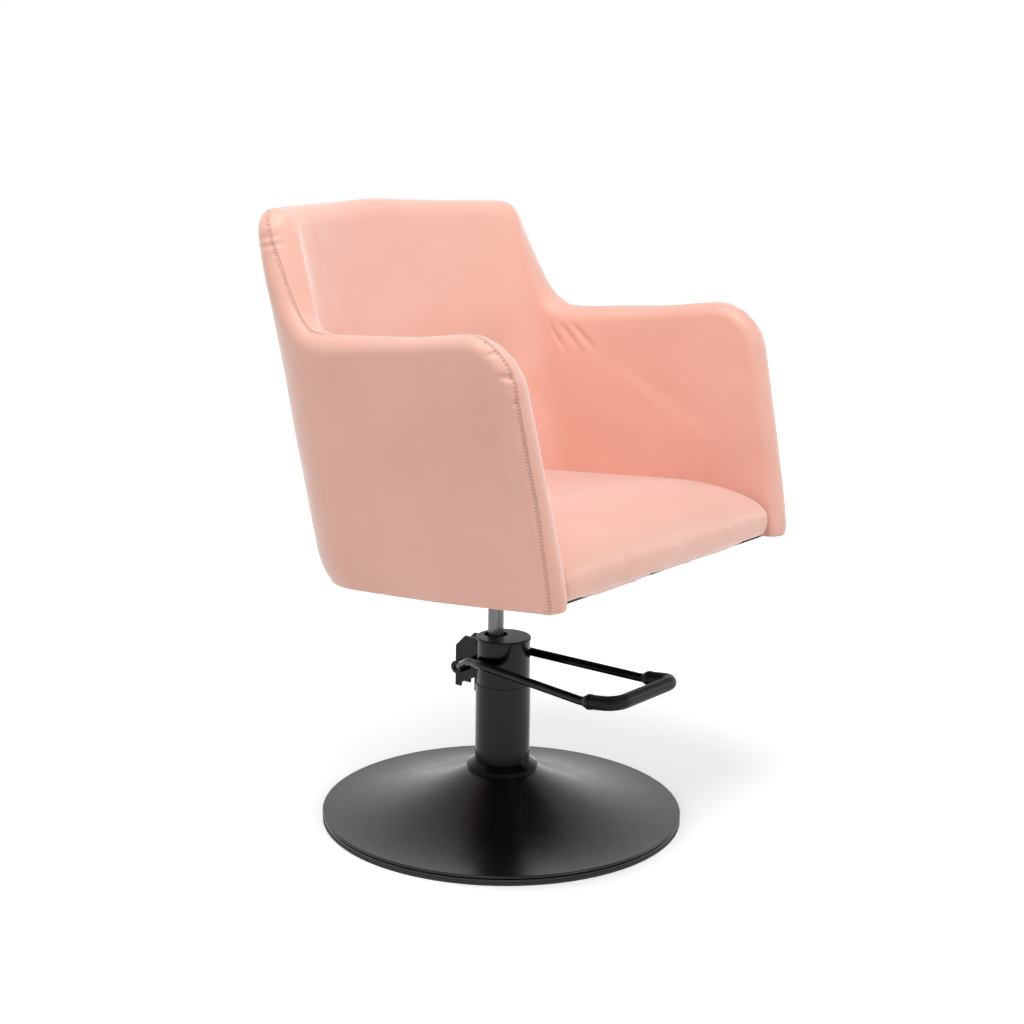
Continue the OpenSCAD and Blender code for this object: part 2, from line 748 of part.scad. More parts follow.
module piston_seal() {
    color([0.08, 0.08, 0.08]) at_rod()
        ring(cylinder_bore / 2 - slip / 2, piston_r - piston_groove, groove_low, groove_low + piston_seal_t);
}

rod_top = tub_bottom - hub_cap_t - rod_d / 2;

module piston_rod() {
    low = piston_bottom + piston_l;
    color([0.75, 0.75, 0.77]) at_rod() rotate_extrude() polygon([
        [0, low - piston_l / 2 + loose], [spigot_d / 2, low - piston_l / 2 + loose],
        [spigot_d / 2, low], [rod_d / 2, low],
        [rod_d / 2, rod_top - over], [rod_d / 2 - over, rod_top], [0, rod_top]]);
}

// Seat: everything below is drawn in the tub's own frame, with its origin
// where the rod's axis meets the tub's bottom plane
module in_tub() {
    translate([0, rod_back, tub_bottom]) rotate([0, 0, seat_turn]) rotate([-tub_tilt, 0, 0]) children();
}

module seat_hub() {
    plate_under = board_up - plate_t;
    far = plate_length;
    color([0.12, 0.12, 0.12]) difference() {
        at_rod() {
            translate([0, 0, hub_bottom]) cylinder(d = hub_d, h = hub_l + hub_d);
            for (i = [0:3]) rotate([0, 0, seat_turn + 45 + 90 * i])
                translate([0, gusset_t / 2, 0]) rotate([90, 0, 0]) linear_extrude(gusset_t) polygon([
                    [hub_d / 4, tub_bottom - gusset_drop], [hub_d / 2, tub_bottom - gusset_drop],
                    [hub_d / 2 + gusset_reach, tub_bottom - gusset_t],
                    [hub_d / 2 + gusset_reach, tub_bottom + gusset_drop],
                    [hub_d / 4, tub_bottom + gusset_drop]]);
        }
        in_tub() translate([-far, -far, plate_under]) cube([2 * far, 2 * far, far]);
        at_rod() translate([0, 0, hub_bottom - over])
            cylinder(r = rod_d / 2 + slip, h = rod_top - hub_bottom + over);
    }
}

module screw_places() {
    for (x = [-1, 1], y = [-1, 1]) translate([x * screw_span_w / 2, y * screw_span_l / 2, 0]) children();
}

module mount_plate() {
    in_x = plate_width / 2 - plate_corner_r;
    in_y = plate_length / 2 - plate_corner_r;
    color([0.12, 0.12, 0.12]) in_tub() difference() {
        translate([0, 0, board_up - plate_t]) union() {
            translate([-plate_width / 2, -in_y, 0]) cube([plate_width, 2 * in_y, plate_t]);
            translate([-in_x, -plate_length / 2, 0]) cube([2 * in_x, plate_length, plate_t]);
            for (x = [-1, 1], y = [-1, 1]) translate([x * in_x, y * in_y, 0])
                cylinder(r = plate_corner_r, h = plate_t);
        }
        screw_places() translate([0, 0, board_up - plate_t - over])
            cylinder(d = seat_screw_d + 2 * loose, h = plate_t + 2 * over);
    }
}

module mount_screws() {
    under = board_up - plate_t;
    color([0.6, 0.6, 0.62]) in_tub() screw_places() union() {
        translate([0, 0, under - seat_screw_head_t])
            cylinder(d = seat_screw_head_d, h = seat_screw_head_t, $fn = 6);
        translate([0, 0, under - over]) cylinder(d = seat_screw_d - 2 * slip, h = board_top_up - under);
    }
}

module tee_nuts() {
    color([0.6, 0.6, 0.62]) in_tub() screw_places() difference() {
        union() {
            translate([0, 0, board_top_up - tee_flange_t]) cylinder(d = tee_flange_d, h = tee_flange_t);
            translate([0, 0, board_up]) cylinder(d = tee_barrel_d, h = board_t - tee_flange_t / 2);
        }
        translate([0, 0, board_up - over]) cylinder(d = seat_screw_d, h = board_t + 2 * over);
    }
}

// Tub wall. A place on it is a share q of the half path, from the arm's
// front (0) round the rear corner to the middle of the back (1), and a height.
corner_start_share = 0.45;
corner_end_share = 0.75;
circle_share = 0.6;
function half_path(q, wf, wr, f, b, r) =
    let (p0 = [wf, -f], p1 = [wr, b - r], p2 = [wr - r, b],
         d1 = unit(p1 - p0), c1 = p1 + d1 * circle_share * r,
         c2 = p2 + unit([p2[0], -2 * back_bulge]) * circle_share * r)
    q <= corner_start_share ? lerp(p0, p1, q / corner_start_share)
    : q <= corner_end_share
        ? let (t = (q - corner_start_share) / (corner_end_share - corner_start_share), s = 1 - t)
        s * s * s * p1 + 3 * t * s * s * c1 + 3 * t * t * s * c2 + t * t * t * p2
    : let (t = (q - corner_end_share) / (1 - corner_end_share))
        [p2[0] * (1 - t), b + back_bulge * t * (2 - t)];
arm_share = arm_h / back_h;
function low_path(q) = half_path(q, half_front_low, half_back_low, front_low, back_low, corner_r_low);
function arm_level_path(q) = half_path(q, half_front_arm, half_back_arm, front_arm,
    lerp(back_low, back_top, arm_share), lerp(corner_r_low, corner_r_top, arm_share));

// Length along the wall from the arm's front, as a table over q
length_steps = 80;
function path_gap(i) = norm(arm_level_path(i / length_steps) - arm_level_path((i - 1) / length_steps));
length_table = [for (i = 0, s = 0; i <= length_steps; i = i + 1, s = s + (i <= length_steps ? path_gap(i) : 0))
    [i / length_steps, s]];
function wall_length(q) = lookup(q, length_table);
corner_start = wall_length(corner_start_share);
half_length = wall_length(1);
thick_from_share = 0.2;
function smooth(t) = t * t * (3 - 2 * t);
function thick(q) = lerp(wall_t, back_wall_t,
    smooth(clamp((q - thick_from_share) / (corner_start_share - thick_from_share), 0, 1)));

// Top line of the wall, as length along it and height
arm_dip_share = 0.45;
crown_share = 0.75;
front_line_share = 0.4;
dip_r_share = 1.05;
crown_r_share = 1.05;
crown_rise_share = 0.62;
top_line = filleted([
    [0, arm_h * front_line_share], [0, arm_h + arm_front_rise],
    [corner_start * arm_dip_share, arm_h - arm_dip],
    [corner_start + slope_start, arm_h], [corner_start + slope_start + slope_run, back_h],
    [lerp(corner_start, half_length, crown_share), back_h + back_crown * crown_rise_share],
    [half_length, back_h + back_crown]],
    [arm_front_r, arm_h * dip_r_share, hollow_r, back_corner_r, back_h * crown_r_share]);
outline = concat([[0, -tuck_h]], top_line);
function wall_top(s) = s <= 0 ? arm_h + arm_front_rise - arm_front_r
    : lookup(s, [for (p = top_line) [p[0], p[1]]]);
function edge_gap(s, h) = min([for (i = [0:len(outline) - 2]) line_gap([s, h], outline[i], outline[i + 1])]);

// Columns and rows of the wall's mesh
column_shares = [0, 0.002, 0.008, 0.017, 0.03, 0.06, 0.12, 0.2, 0.28, 0.36,
    0.45, 0.5, 0.55, 0.6, 0.65, 0.7, 0.75, 0.8, 0.86, 0.93, 1];
row_shares = [0, 0.03, 0.07, 0.13, 0.25, 0.5, 0.75, 0.86, 0.9375, 0.965, 0.984, 0.996, 1];
half_columns = len(column_shares);
columns = 2 * half_columns - 1;
rows = len(row_shares);
tuck_from_share = 0.28;
tuck_full_share = 0.55;
function tuck(q, h) = h >= tuck_h ? 0 : tuck_depth
    * clamp((q - tuck_from_share) / (tuck_full_share - tuck_from_share), 0, 1)
    * (1 - sqrt(1 - pow(1 - h / tuck_h, 2)));
function toe(q, h) = h >= toe_h || q >= corner_start_share ? 0
    : toe_depth * (1 - q / corner_start_share) * (1 - sqrt(1 - pow(1 - h / toe_h, 2)));
beside_share = 0.004;
function outward(q) =
    let (a = arm_level_path(max(q - beside_share, 0)), b = arm_level_path(min(q + beside_share, 1)),
        t = unit(b - a))
    [t[1], -t[0]];
function wall_plan(q, h) = lerp(low_path(q), arm_level_path(q), h / arm_h) + [0, toe(q, h)]
    - outward(q) * tuck(q, h);
function padding(gap, r) = r * sqrt(1 - pow(1 - min(gap, r) / r, 2));

// Middle of the wall, outward direction and half thickness at each place of the mesh
wall_places = [for (c = [0:columns - 1])
    let (side = c < half_columns ? -1 : 1, i = c < half_columns ? c : columns - 1 - c,
         q = column_shares[i], s = wall_length(q), top = wall_top(s), n = outward(q), r = thick(q) / 2)
    [for (j = [0:rows - 1]) let (h = top * row_shares[j], m = wall_plan(q, h) - n * r,
        half = (i == 0 || j == rows - 1) ? 0 : padding(edge_gap(s, h), r))
        [[side * m[0], m[1], h], [side * n[0], n[1], 0], half]]];
ply_columns = 4;
ply_row = 8;
function in_ply(c, j) = c >= ply_columns && c < columns - ply_columns && j <= ply_row;
function outer_face() = [for (c = [0:columns - 1]) [for (p = wall_places[c]) p[0] + p[1] * p[2]]];
function inner_face() = [for (c = [0:columns - 1]) [for (p = wall_places[c]) p[0] - p[1] * p[2]]];
function ply_face(side) = [for (c = [0:columns - 1]) [for (j = [0:rows - 1]) let (p = wall_places[c][j])
    p[0] + p[1] * (in_ply(c, j) ? side * ply_t / 2 : 0)]];
function only_ply(face) =
    [for (c = [ply_columns:columns - 1 - ply_columns]) [for (j = [0:ply_row]) face[c][j]]];

// A solid between two faces of equal size, the first on the outside
function apart(a, b) = norm(a - b) > tiny;
module slab(front, back) {
    n = len(front);
    m = len(front[0]);
    size = n * m;
    pts = concat([for (c = front) each c], [for (c = back) each c]);
    function wall(a, b) = concat(
        apart(pts[b], pts[b + size]) ? [[b + size, b, a]] : [],
        apart(pts[a], pts[a + size]) ? [[a + size, b + size, a]] : []);
    polyhedron(points = pts, convexity = 10, faces = concat(
        [for (i = [0:n - 2], j = [0:m - 2]) each let (a = i * m + j, b = a + m) i < (n - 1) / 2
            ? [each flat(pts, [a, b, a + 1]), each flat(pts, [b, b + 1, a + 1])]
            : [each flat(pts, [a, b + 1, a + 1]), each flat(pts, [a, b, b + 1])]],
        [for (i = [0:n - 2], j = [0:m - 2]) each let (a = size + i * m + j, b = a + m) i < (n - 1) / 2
            ? [each flat(pts, [a, a + 1, b]), each flat(pts, [b, a + 1, b + 1])]
            : [each flat(pts, [a, a + 1, b + 1]), each flat(pts, [a, b + 1, b])]],
        [for (i = [0:n - 2]) each wall(i * m, (i + 1) * m)],
        [for (i = [0:n - 2]) each wall((i + 2) * m - 1, (i + 1) * m - 1)],
        [for (j = [0:m - 2]) each wall(j + 1, j)],
        [for (j = [0:m - 2]) each wall((n - 1) * m + j, (n - 1) * m + j + 1)]));
}
// A triangle, unless two of its corners are the same point
function flat(pts, f) = apart(pts[f[0]], pts[f[1]])
    && apart(pts[f[1]], pts[f[2]]) && apart(pts[f[2]], pts[f[0]])
    ? [f] : [];

module outer_cover() {
    color([0.88, 0.66, 0.6]) in_tub() slab(outer_face(), ply_face(1));
}

module inner_cover() {
    color([0.95, 0.73, 0.66]) in_tub() slab(ply_face(-1), inner_face());
}

module shell_frame() {
    color([0.78, 0.62, 0.42]) in_tub() slab(only_ply(ply_face(1)), only_ply(ply_face(-1)));
}

// Inside of the tub at height h, as a plan outline drawn in by a gap
function inside_at(q, h, gap) = wall_plan(q, h) - outward(q) * (thick(q) + gap);
module inside_plan(h, gap) {
    half = [for (q = column_shares) inside_at(q, h, gap)];
    polygon(concat([for (p = half) [-p[0], p[1]]], [for (i = [len(half) - 2:-1:0]) half[i]]));
}

module behind(y) {
    translate([-2 * half_front_arm, y]) square([4 * half_front_arm, 2 * front_low]);
}

module seat_board() {
    color([0.78, 0.62, 0.42]) in_tub() difference() {
        translate([0, 0, board_up]) linear_extrude(board_t) intersection() {
            inside_plan(0, loose);
            behind(lip_t + loose - cushion_foot);
        }
        screw_places() {
            translate([0, 0, board_up - over]) cylinder(d = tee_barrel_d, h = board_t + 2 * over);
            translate([0, 0, board_top_up - tee_flange_t]) cylinder(d = tee_flange_d, h = tee_flange_t + over);
        }
    }
}

module dust_cover() {
    color([0.04, 0.04, 0.04]) in_tub() translate([0, 0, -dust_cover_t]) linear_extrude(dust_cover_t)
        difference() {
            intersection() {
                inside_plan(0, dust_inset - wall_t);
                behind(dust_inset - cushion_foot);
            }
            square([plate_width + 2 * dust_opening_gap, plate_length + 2 * dust_opening_gap], center = true);
        }
}

// Seat cushion: a profile from its rear to the foot of its front lip,
// repeated at stations across the seat
cushion_rear_r = 14;
cushion_gap = 1.5;
draw_in = 5;
roll_steps = 8;
lip_back = lip_t - cushion_foot;
roll_start = front_roll_length - cushion_front;
face_top = cushion_front_h - front_roll_height;
rear_shares = [0.01, 0.04, 0.1, 0.2, 0.35, 0.55, 0.78, 1];
station_count = 10;
crown_power = 4;
half_steps = 30;
function inside_half(y, h) = lookup(y, [for (i = [0:half_steps])
    let (p = inside_at(corner_end_share * i / half_steps, h, cushion_gap)) [p[1], p[0]]]);
function rear_y(u, h) =
    lerp(inside_at(1, h, cushion_gap)[1], inside_at(corner_end_share, h, cushion_gap)[1], u * u);
function cushion_top_h(y, u) =
    lerp(cushion_front_h, cushion_back_h, (y - roll_start) / (back_low - roll_start))
    - side_drop * pow(abs(u), crown_power);

// Profile points as [share toward the rear, extra forward, drop below the top, height of the foot points]
cushion_line = concat(
    [for (i = [0:2]) let (a = 45 * i) ["rear", 0, cushion_rear_r * (1 - cos(90 - a))]],
    [for (s = rear_shares) ["top", s, 0]],
    [for (i = [1:roll_steps]) ["roll", 90 * i / roll_steps, 0]],
    [["face", board_top_up, 0], ["face", 0, 0]]);
function cushion_place(p, u) = let (back = rear_y(u, cushion_back_h - side_drop), r = cushion_rear_r)
    p[0] == "rear" ? [back - r + r * sqrt(1 - pow(1 - p[2] / r, 2)), cushion_top_h(back, u) - p[2]]
    : p[0] == "top" ? let (y = lerp(back - r, roll_start, p[1])) [y, cushion_top_h(y, u)]
    : p[0] == "roll"
        ? [roll_start - front_roll_length * sin(p[1]), lerp(face_top, cushion_top_h(roll_start, u), cos(p[1]))]
    : [lerp(-cushion_foot, -cushion_front, p[1] / face_top), p[1]];
function cushion_top_point(p, u) = let (c = cushion_place(p, u)) [u * inside_half(c[0], c[1]), c[0], c[1]];
function cushion_under_point(p, u) = let (c = cushion_place(p, u), h = min(c[1], board_top_up),
    under_y = min(max(c[0], lip_back), rear_y(u, h)))
    [u * (inside_half(under_y, h) - draw_in), under_y, under_y > lip_back ? board_top_up : h];

module seat_cushion() {
    stations = [for (i = [-station_count:station_count]) sin(90 * i / station_count)];
    color([0.97, 0.8, 0.75]) in_tub() slab(
        [for (u = stations) [for (p = cushion_line) cushion_top_point(p, u)]],
        [for (u = stations) [for (p = cushion_line) cushion_under_point(p, u)]]);
}

base_disc();
base_edge_ring();
base_hub_plate();
base_bolts();
base_washers();
pump_foot();
pump_collar();
pump_lower_tube();
pump_upper_shroud();
pump_top_cap();
valve_block();
cylinder_tube();
pump_head();
rod_bush();
rod_seal();
lever_bracket();
plunger();
plunger_spring();
pivot_pin();
pedal_bosses();
rocker_arm();
pedal_bar();
pedal_grip();
piston();
piston_seal();
piston_rod();
seat_hub();
mount_plate();
mount_screws();
tee_nuts();
seat_board();
dust_cover();
shell_frame();
outer_cover();
inner_cover();
seat_cushion();
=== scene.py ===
import math
import random

import bpy
import numpy as np
from mathutils import Matrix, Vector


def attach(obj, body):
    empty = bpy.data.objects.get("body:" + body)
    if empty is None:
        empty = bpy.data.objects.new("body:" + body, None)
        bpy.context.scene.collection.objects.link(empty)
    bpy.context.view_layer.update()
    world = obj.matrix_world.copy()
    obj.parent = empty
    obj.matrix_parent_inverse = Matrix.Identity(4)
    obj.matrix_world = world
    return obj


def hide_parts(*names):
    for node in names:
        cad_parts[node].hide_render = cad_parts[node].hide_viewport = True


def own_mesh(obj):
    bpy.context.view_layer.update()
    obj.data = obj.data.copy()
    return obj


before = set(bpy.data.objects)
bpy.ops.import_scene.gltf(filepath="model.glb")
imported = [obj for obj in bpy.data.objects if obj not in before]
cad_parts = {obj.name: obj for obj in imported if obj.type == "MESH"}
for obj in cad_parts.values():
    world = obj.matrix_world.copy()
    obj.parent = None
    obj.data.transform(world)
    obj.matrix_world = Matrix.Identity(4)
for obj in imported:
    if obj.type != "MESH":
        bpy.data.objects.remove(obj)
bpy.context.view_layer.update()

scene = bpy.context.scene
MM = 0.001

# Sizes of the part, in millimetres, as in its source
ROD_BACK, TUB_BOTTOM, SEAT_TURN, TUB_TILT = 15.7, 409.5, 2.25, 4.35
HALF_FRONT_LOW, HALF_FRONT_ARM, HALF_BACK_LOW, HALF_BACK_ARM = 312, 332, 304, 320
FRONT_LOW, FRONT_ARM, BACK_LOW, BACK_TOP = 335, 284, 155, 208
CORNER_R_LOW, CORNER_R_TOP, BACK_BULGE = 133, 116, 29
ARM_H, ARM_DIP, ARM_FRONT_RISE, BACK_H, BACK_CROWN = 353, 3, 6, 525, 12
SLOPE_START, SLOPE_RUN = 13, 71
ARM_FRONT_R, HOLLOW_R, BACK_CORNER_R = 82, 80, 54
WALL_T, BACK_WALL_T, PLY_T = 40, 58, 15
TUCK_H, TUCK_DEPTH, TUCK_FROM, TUCK_RUN = 56, 19, 0.28, 0.27
TOE_H, TOE_DEPTH, FOOT_H, FOOT_DEPTH = 90, 7, 15, 5
THICKER_FROM = 0.2
CUSHION_BACK_H, CUSHION_FRONT_H, CUSHION_FRONT, CUSHION_FOOT = 105, 95, 322, 318
FRONT_ROLL_L, FRONT_ROLL_H, SIDE_DROP, LIP_T, BOARD_T, BOARD_UP = 160, 66, 20, 24, 15, 8
CUSHION_GAP, CUSHION_REAR_R = 1.5, 14
CORNER_FROM, CORNER_TO, CIRCLE_SHARE, FILLET_LIMIT, FILLET_STEPS = 0.45, 0.75, 0.6, 0.49, 24
ARM_SHARE = ARM_H / BACK_H
DIP_SHARE, CROWN_SHARE, CROWN_RISE_SHARE, WIDE_R_SHARE = 0.45, 0.75, 0.62, 1.05


def lerp(a, b, t):
    return a + (b - a) * t


def bell(x, width):
    return np.exp(-(x / width) ** 2)


def unit(v):
    v = np.asarray(v, float)
    return v / np.linalg.norm(v, axis=-1, keepdims=True)


def new_mesh(name, points, faces):
    """A smooth piece from points in metres and a list of faces."""
    mesh = bpy.data.meshes.new(name)
    mesh.from_pydata(np.asarray(points, float).tolist(), [], [list(map(int, f)) for f in faces])
    mesh.validate()
    mesh.polygons.foreach_set("use_smooth", [True] * len(mesh.polygons))
    mesh.update()
    obj = bpy.data.objects.new(name, mesh)
    scene.collection.objects.link(obj)
    return obj


def in_tub(points):
    """Points of the tub's own frame, in mm, as row points in metres."""
    tilt, turn = math.radians(-TUB_TILT), math.radians(SEAT_TURN)
    x, y, z = np.asarray(points, float).T
    y, z = y * math.cos(tilt) - z * math.sin(tilt), y * math.sin(tilt) + z * math.cos(tilt)
    x, y = x * math.cos(turn) - y * math.sin(turn), x * math.sin(turn) + y * math.cos(turn)
    return np.stack([x, y + ROD_BACK, z + TUB_BOTTOM], 1) * MM


# Half of the tub's plan, from the arm's front round the rear corner to the back's middle
TABLE_Q = np.linspace(0, 1, 2001)


def half_path(wf, wr, f, b, r):
    """Half of the plan at one height: half widths in front and behind, front, back and corner radius."""
    p0, p1, p2 = np.array([wf, -f], float), np.array([wr, b - r], float), np.array([wr - r, b], float)
    c1 = p1 + unit(p1 - p0) * CIRCLE_SHARE * r
    c2 = p2 + unit([p2[0], -2 * BACK_BULGE]) * CIRCLE_SHARE * r
    q = TABLE_Q[:, None]
    t = (q - CORNER_FROM) / (CORNER_TO - CORNER_FROM)
    s = 1 - t
    corner = s ** 3 * p1 + 3 * t * s ** 2 * c1 + 3 * t ** 2 * s * c2 + t ** 3 * p2
    t = (q - CORNER_TO) / (1 - CORNER_TO)
    rear = np.concatenate([p2[0] * (1 - t), b + BACK_BULGE * t * (2 - t)], 1)
    return np.where(q <= CORNER_FROM, lerp(p0, p1, q / CORNER_FROM), np.where(q <= CORNER_TO, corner, rear))


LOW_PATH = half_path(HALF_FRONT_LOW, HALF_BACK_LOW, FRONT_LOW, BACK_LOW, CORNER_R_LOW)
ARM_PATH = half_path(HALF_FRONT_ARM, HALF_BACK_ARM, FRONT_ARM, lerp(BACK_LOW, BACK_TOP, ARM_SHARE),
                     lerp(CORNER_R_LOW, CORNER_R_TOP, ARM_SHARE))
LENGTHS = np.concatenate([[0], np.cumsum(np.linalg.norm(np.diff(ARM_PATH, axis=0), axis=1))])
CORNER_START = float(np.interp(CORNER_FROM, TABLE_Q, LENGTHS))
HALF = float(LENGTHS[-1])
SAG_AT, SAG_WIDTH, SAG_H, SAG_DEPTH = CORNER_START * 0.6, 150, 40, 2.6
TANGENTS = unit(np.gradient(ARM_PATH, axis=0))
OUTWARD = np.stack([TANGENTS[:, 1], -TANGENTS[:, 0]], 1)
OUTWARD[-1] = [0, 1]


def from_table(table, q):
    """Row of a table of the half plan, at a share q along it."""
    return np.stack([np.interp(q, TABLE_Q, table[:, i]) for i in range(2)], -1)


def eased(x):
    """0 to 1 with soft ends."""
    x = np.clip(x, 0, 1)
    return x * x * (3 - 2 * x)


def curl(h, height):
    """0 above a height, and 1 at the bottom, like the side of a quarter circle."""
    return 1 - np.sqrt(np.clip(1 - np.clip(1 - h / height, 0, 1) ** 2, 0, 1))


def tuck(q, h):
    """How far the rear of the wall is drawn in near its bottom edge."""
    return TUCK_DEPTH * np.clip((q - TUCK_FROM) / TUCK_RUN, 0, 1) * curl(h, TUCK_H)


def toe(q, h):
    """How far the arms' front bends back near the bottom edge."""
    return np.clip(1 - q / CORNER_FROM, 0, 1) * (TOE_DEPTH * curl(h, TOE_H) + FOOT_DEPTH * curl(h, FOOT_H))


def wall_thick(q):
    """The padded wall's thickness at a share of the half plan."""
    return lerp(WALL_T, BACK_WALL_T, eased((q - THICKER_FROM) / (CORNER_FROM - THICKER_FROM)))


def half_thick(s):
    """Half of the padded wall's thickness at a length along it."""
    return wall_thick(np.interp(np.minimum(s, 2 * HALF - s), LENGTHS, TABLE_Q)) / 2


def sag(s, h):
    """How far the bottom edge hangs down beside the arms' rear."""
    m = np.minimum(s, 2 * HALF - s)
    return SAG_DEPTH * bell(m - SAG_AT, SAG_WIDTH) * np.clip(1 - h / SAG_H, 0, 1) ** 2


def wall_point(s, h, k):
    """Point of the padded wall: s along it from the left arm's front, h up, k outward from its middle."""
    s, h, k = np.broadcast_arrays(np.asarray(s, float), h, k)
    side = np.where(s < HALF, -1.0, 1.0)
    q = np.interp(np.minimum(s, 2 * HALF - s), LENGTHS, TABLE_Q)
    n = unit(from_table(OUTWARD, q))
    plan = lerp(from_table(LOW_PATH, q), from_table(ARM_PATH, q), (h / ARM_H)[..., None])
    plan = plan + n * (k - half_thick(s) - tuck(q, h))[..., None]
    return np.stack([side * plan[..., 0], plan[..., 1] + toe(q, h), h - sag(s, h)], -1)


def fillet(p, a, b, r):
    """Points round a corner p of the line from a to b, on a curve of radius r."""
    p, a, b = (np.asarray(v, float) for v in (p, a, b))
    u, v = unit(a - p), unit(b - p)
    half = math.acos(max(-1, min(1, float(u @ v)))) / 2
    d = min(r / math.tan(half), FILLET_LIMIT * min(np.linalg.norm(a - p), np.linalg.norm(b - p)))
    w = math.sin(half)
    out = []
    for i in range(FILLET_STEPS + 1):
        t = i / FILLET_STEPS
        c0, c1, c2 = (1 - t) ** 2, 2 * t * (1 - t) * w, t * t
        out.append((c0 * (p + u * d) + c1 * p + c2 * (p + v * d)) / (c0 + c1 + c2))
    return out


# Where the arm's top runs into the slope up to the back, and where the slope ends, along the wall
HOLLOW_S = CORNER_START + SLOPE_START
SHOULDER_S = HOLLOW_S + SLOPE_RUN


def top_line():
    """Top line of the wall, as length along it and height, with rounded corners."""
    pts = [[0, 0], [0, ARM_H + ARM_FRONT_RISE], [CORNER_START * DIP_SHARE, ARM_H - ARM_DIP],
           [HOLLOW_S, ARM_H], [SHOULDER_S, BACK_H],
           [lerp(CORNER_START, HALF, CROWN_SHARE), BACK_H + BACK_CROWN * CROWN_RISE_SHARE],
           [HALF, BACK_H + BACK_CROWN]]
    radii = [ARM_FRONT_R, ARM_H * WIDE_R_SHARE, HOLLOW_R, BACK_CORNER_R, BACK_H * WIDE_R_SHARE]
    out = [np.array(pts[0], float)]
    for i, r in enumerate(radii):
        out += fillet(pts[i + 1], pts[i], pts[i + 2], r)
    out.append(np.array(pts[-1], float))
    left = np.array(out)
    right = left[-2::-1] * [-1, 1] + [2 * HALF, 0]
    return np.concatenate([left, right])


def resampled(line, gaps):
    """Points along a line, spaced by gaps(length) in mm."""
    run = np.concatenate([[0], np.cumsum(np.linalg.norm(np.diff(line, axis=0), axis=1))])
    fine = np.linspace(0, run[-1], 6000)
    density = 1 / gaps(fine)
    count = np.concatenate([[0], np.cumsum((density[1:] + density[:-1]) / 2 * np.diff(fine))])
    n = int(round(count[-1] / 2)) * 2
    at = np.interp(np.linspace(0, count[-1], n + 1), count, fine)
    return np.stack([np.interp(at, run, line[:, i]) for i in range(2)], 1), at


BOTTOM_R = 6
# Rounds of smoothing for the rim's direction and for the seam's place
TURN_ROUNDS, SEAM_ROUNDS = 12, 160

outline = top_line()
run = np.concatenate([[0], np.cumsum(np.linalg.norm(np.diff(outline, axis=0), axis=1))])
even = np.linspace(0, run[-1], 4001)
outline = np.stack([np.interp(even, run, outline[:, i]) for i in range(2)], 1)
tangent = unit(np.gradient(outline, axis=0))
for _ in range(TURN_ROUNDS):
    tangent[1:-1] = (tangent[:-2] + tangent[1:-1] * 2 + tangent[2:]) / 4
tangent = unit(tangent)
rim_out = np.stack([-tangent[:, 1], tangent[:, 0]], 1)
rim_line = outline - rim_out * half_thick(outline[:, :1])
rim_line[0] = [WALL_T / 2, BOTTOM_R]
rim_line[-1] = [2 * HALF - WALL_T / 2, BOTTOM_R]
keep = rim_line[:, 1] >= BOTTOM_R
rim_line, rim_out = rim_line[keep], rim_out[keep]
rim_run = np.concatenate([[0], np.cumsum(np.linalg.norm(np.diff(rim_line, axis=0), axis=1))])
RIM_LENGTH = float(rim_run[-1])

# Where the rim turns the arm's front corner, the hollow and the back's corner, along the rim
CORNER_TURN, BACK_CORNER_LEAD = 45, 4
turn = np.degrees(np.arctan2(rim_out[:, 1], -rim_out[:, 0]))
corner_at = float(rim_run[int(np.argmax(turn > CORNER_TURN))])
hollow_at = float(rim_run[int(np.argmax(rim_line[:, 0] > HOLLOW_S))])
back_corner_at = float(rim_run[int(np.argmax(rim_line[:, 0] > SHOULDER_S - BACK_CORNER_LEAD))])


def from_ends(at):
    """Length from the nearer of the rim's two ends."""
    return np.minimum(at, RIM_LENGTH - at)


# Spacing of the rim's columns, in mm: wide where it is plain, and fine round the puckers at the corners
WIDE_GAP, FINE_GAP = 5.0, 1.7
ARM_FINE_SHIFT, ARM_FINE_WIDTH, BACK_FINE_WIDTH = 10, 70, 55


def rim_gaps(at):
    a = from_ends(at)
    fine = np.maximum(bell(a - corner_at - ARM_FINE_SHIFT, ARM_FINE_WIDTH),
                      bell(a - back_corner_at, BACK_FINE_WIDTH))
    return lerp(WIDE_GAP, FINE_GAP, fine)


columns, column_at = resampled(rim_line, rim_gaps)
rim_r = half_thick(columns[:, 0])
column_out = unit(np.stack([np.interp(column_at, rim_run, rim_out[:, i]) for i in range(2)], 1))
T = len(columns)
n_side = int(np.argmax(column_at > corner_at))
side_left, side_right = columns[:n_side], columns[T - n_side:][::-1]
crown = columns[n_side - 1:T - n_side + 1]

# Places on the wall's face, blended from its edges
u = (crown[:, 0] - crown[0, 0]) / (crown[-1, 0] - crown[0, 0])
v = (side_left[:, 1] - side_left[0, 1]) / (side_left[-1, 1] - side_left[0, 1])
foot = np.stack([lerp(WALL_T / 2, 2 * HALF - WALL_T / 2, u), np.full(len(u), float(BOTTOM_R))], 1)
U, V = u[:, None, None], v[None, :, None]
face = ((1 - V) * foot[:, None] + V * crown[:, None] + (1 - U) * side_left[None] + U * side_right[None]
        - (1 - U) * (1 - V) * foot[0] - U * (1 - V) * foot[-1] - (1 - U) * V * crown[0] - U * V * crown[-1])
NI, NJ = face.shape[:2]
# The face's own points under each of the rim's columns: up one side, along the top and down the other
ring = np.array(list(range(NJ)) + [i * NJ + NJ - 1 for i in range(1, NI - 1)]
                + [(NI - 1) * NJ + j for j in range(NJ - 1, -1, -1)])
assert len(ring) == T, (len(ring), T, NI, NJ)

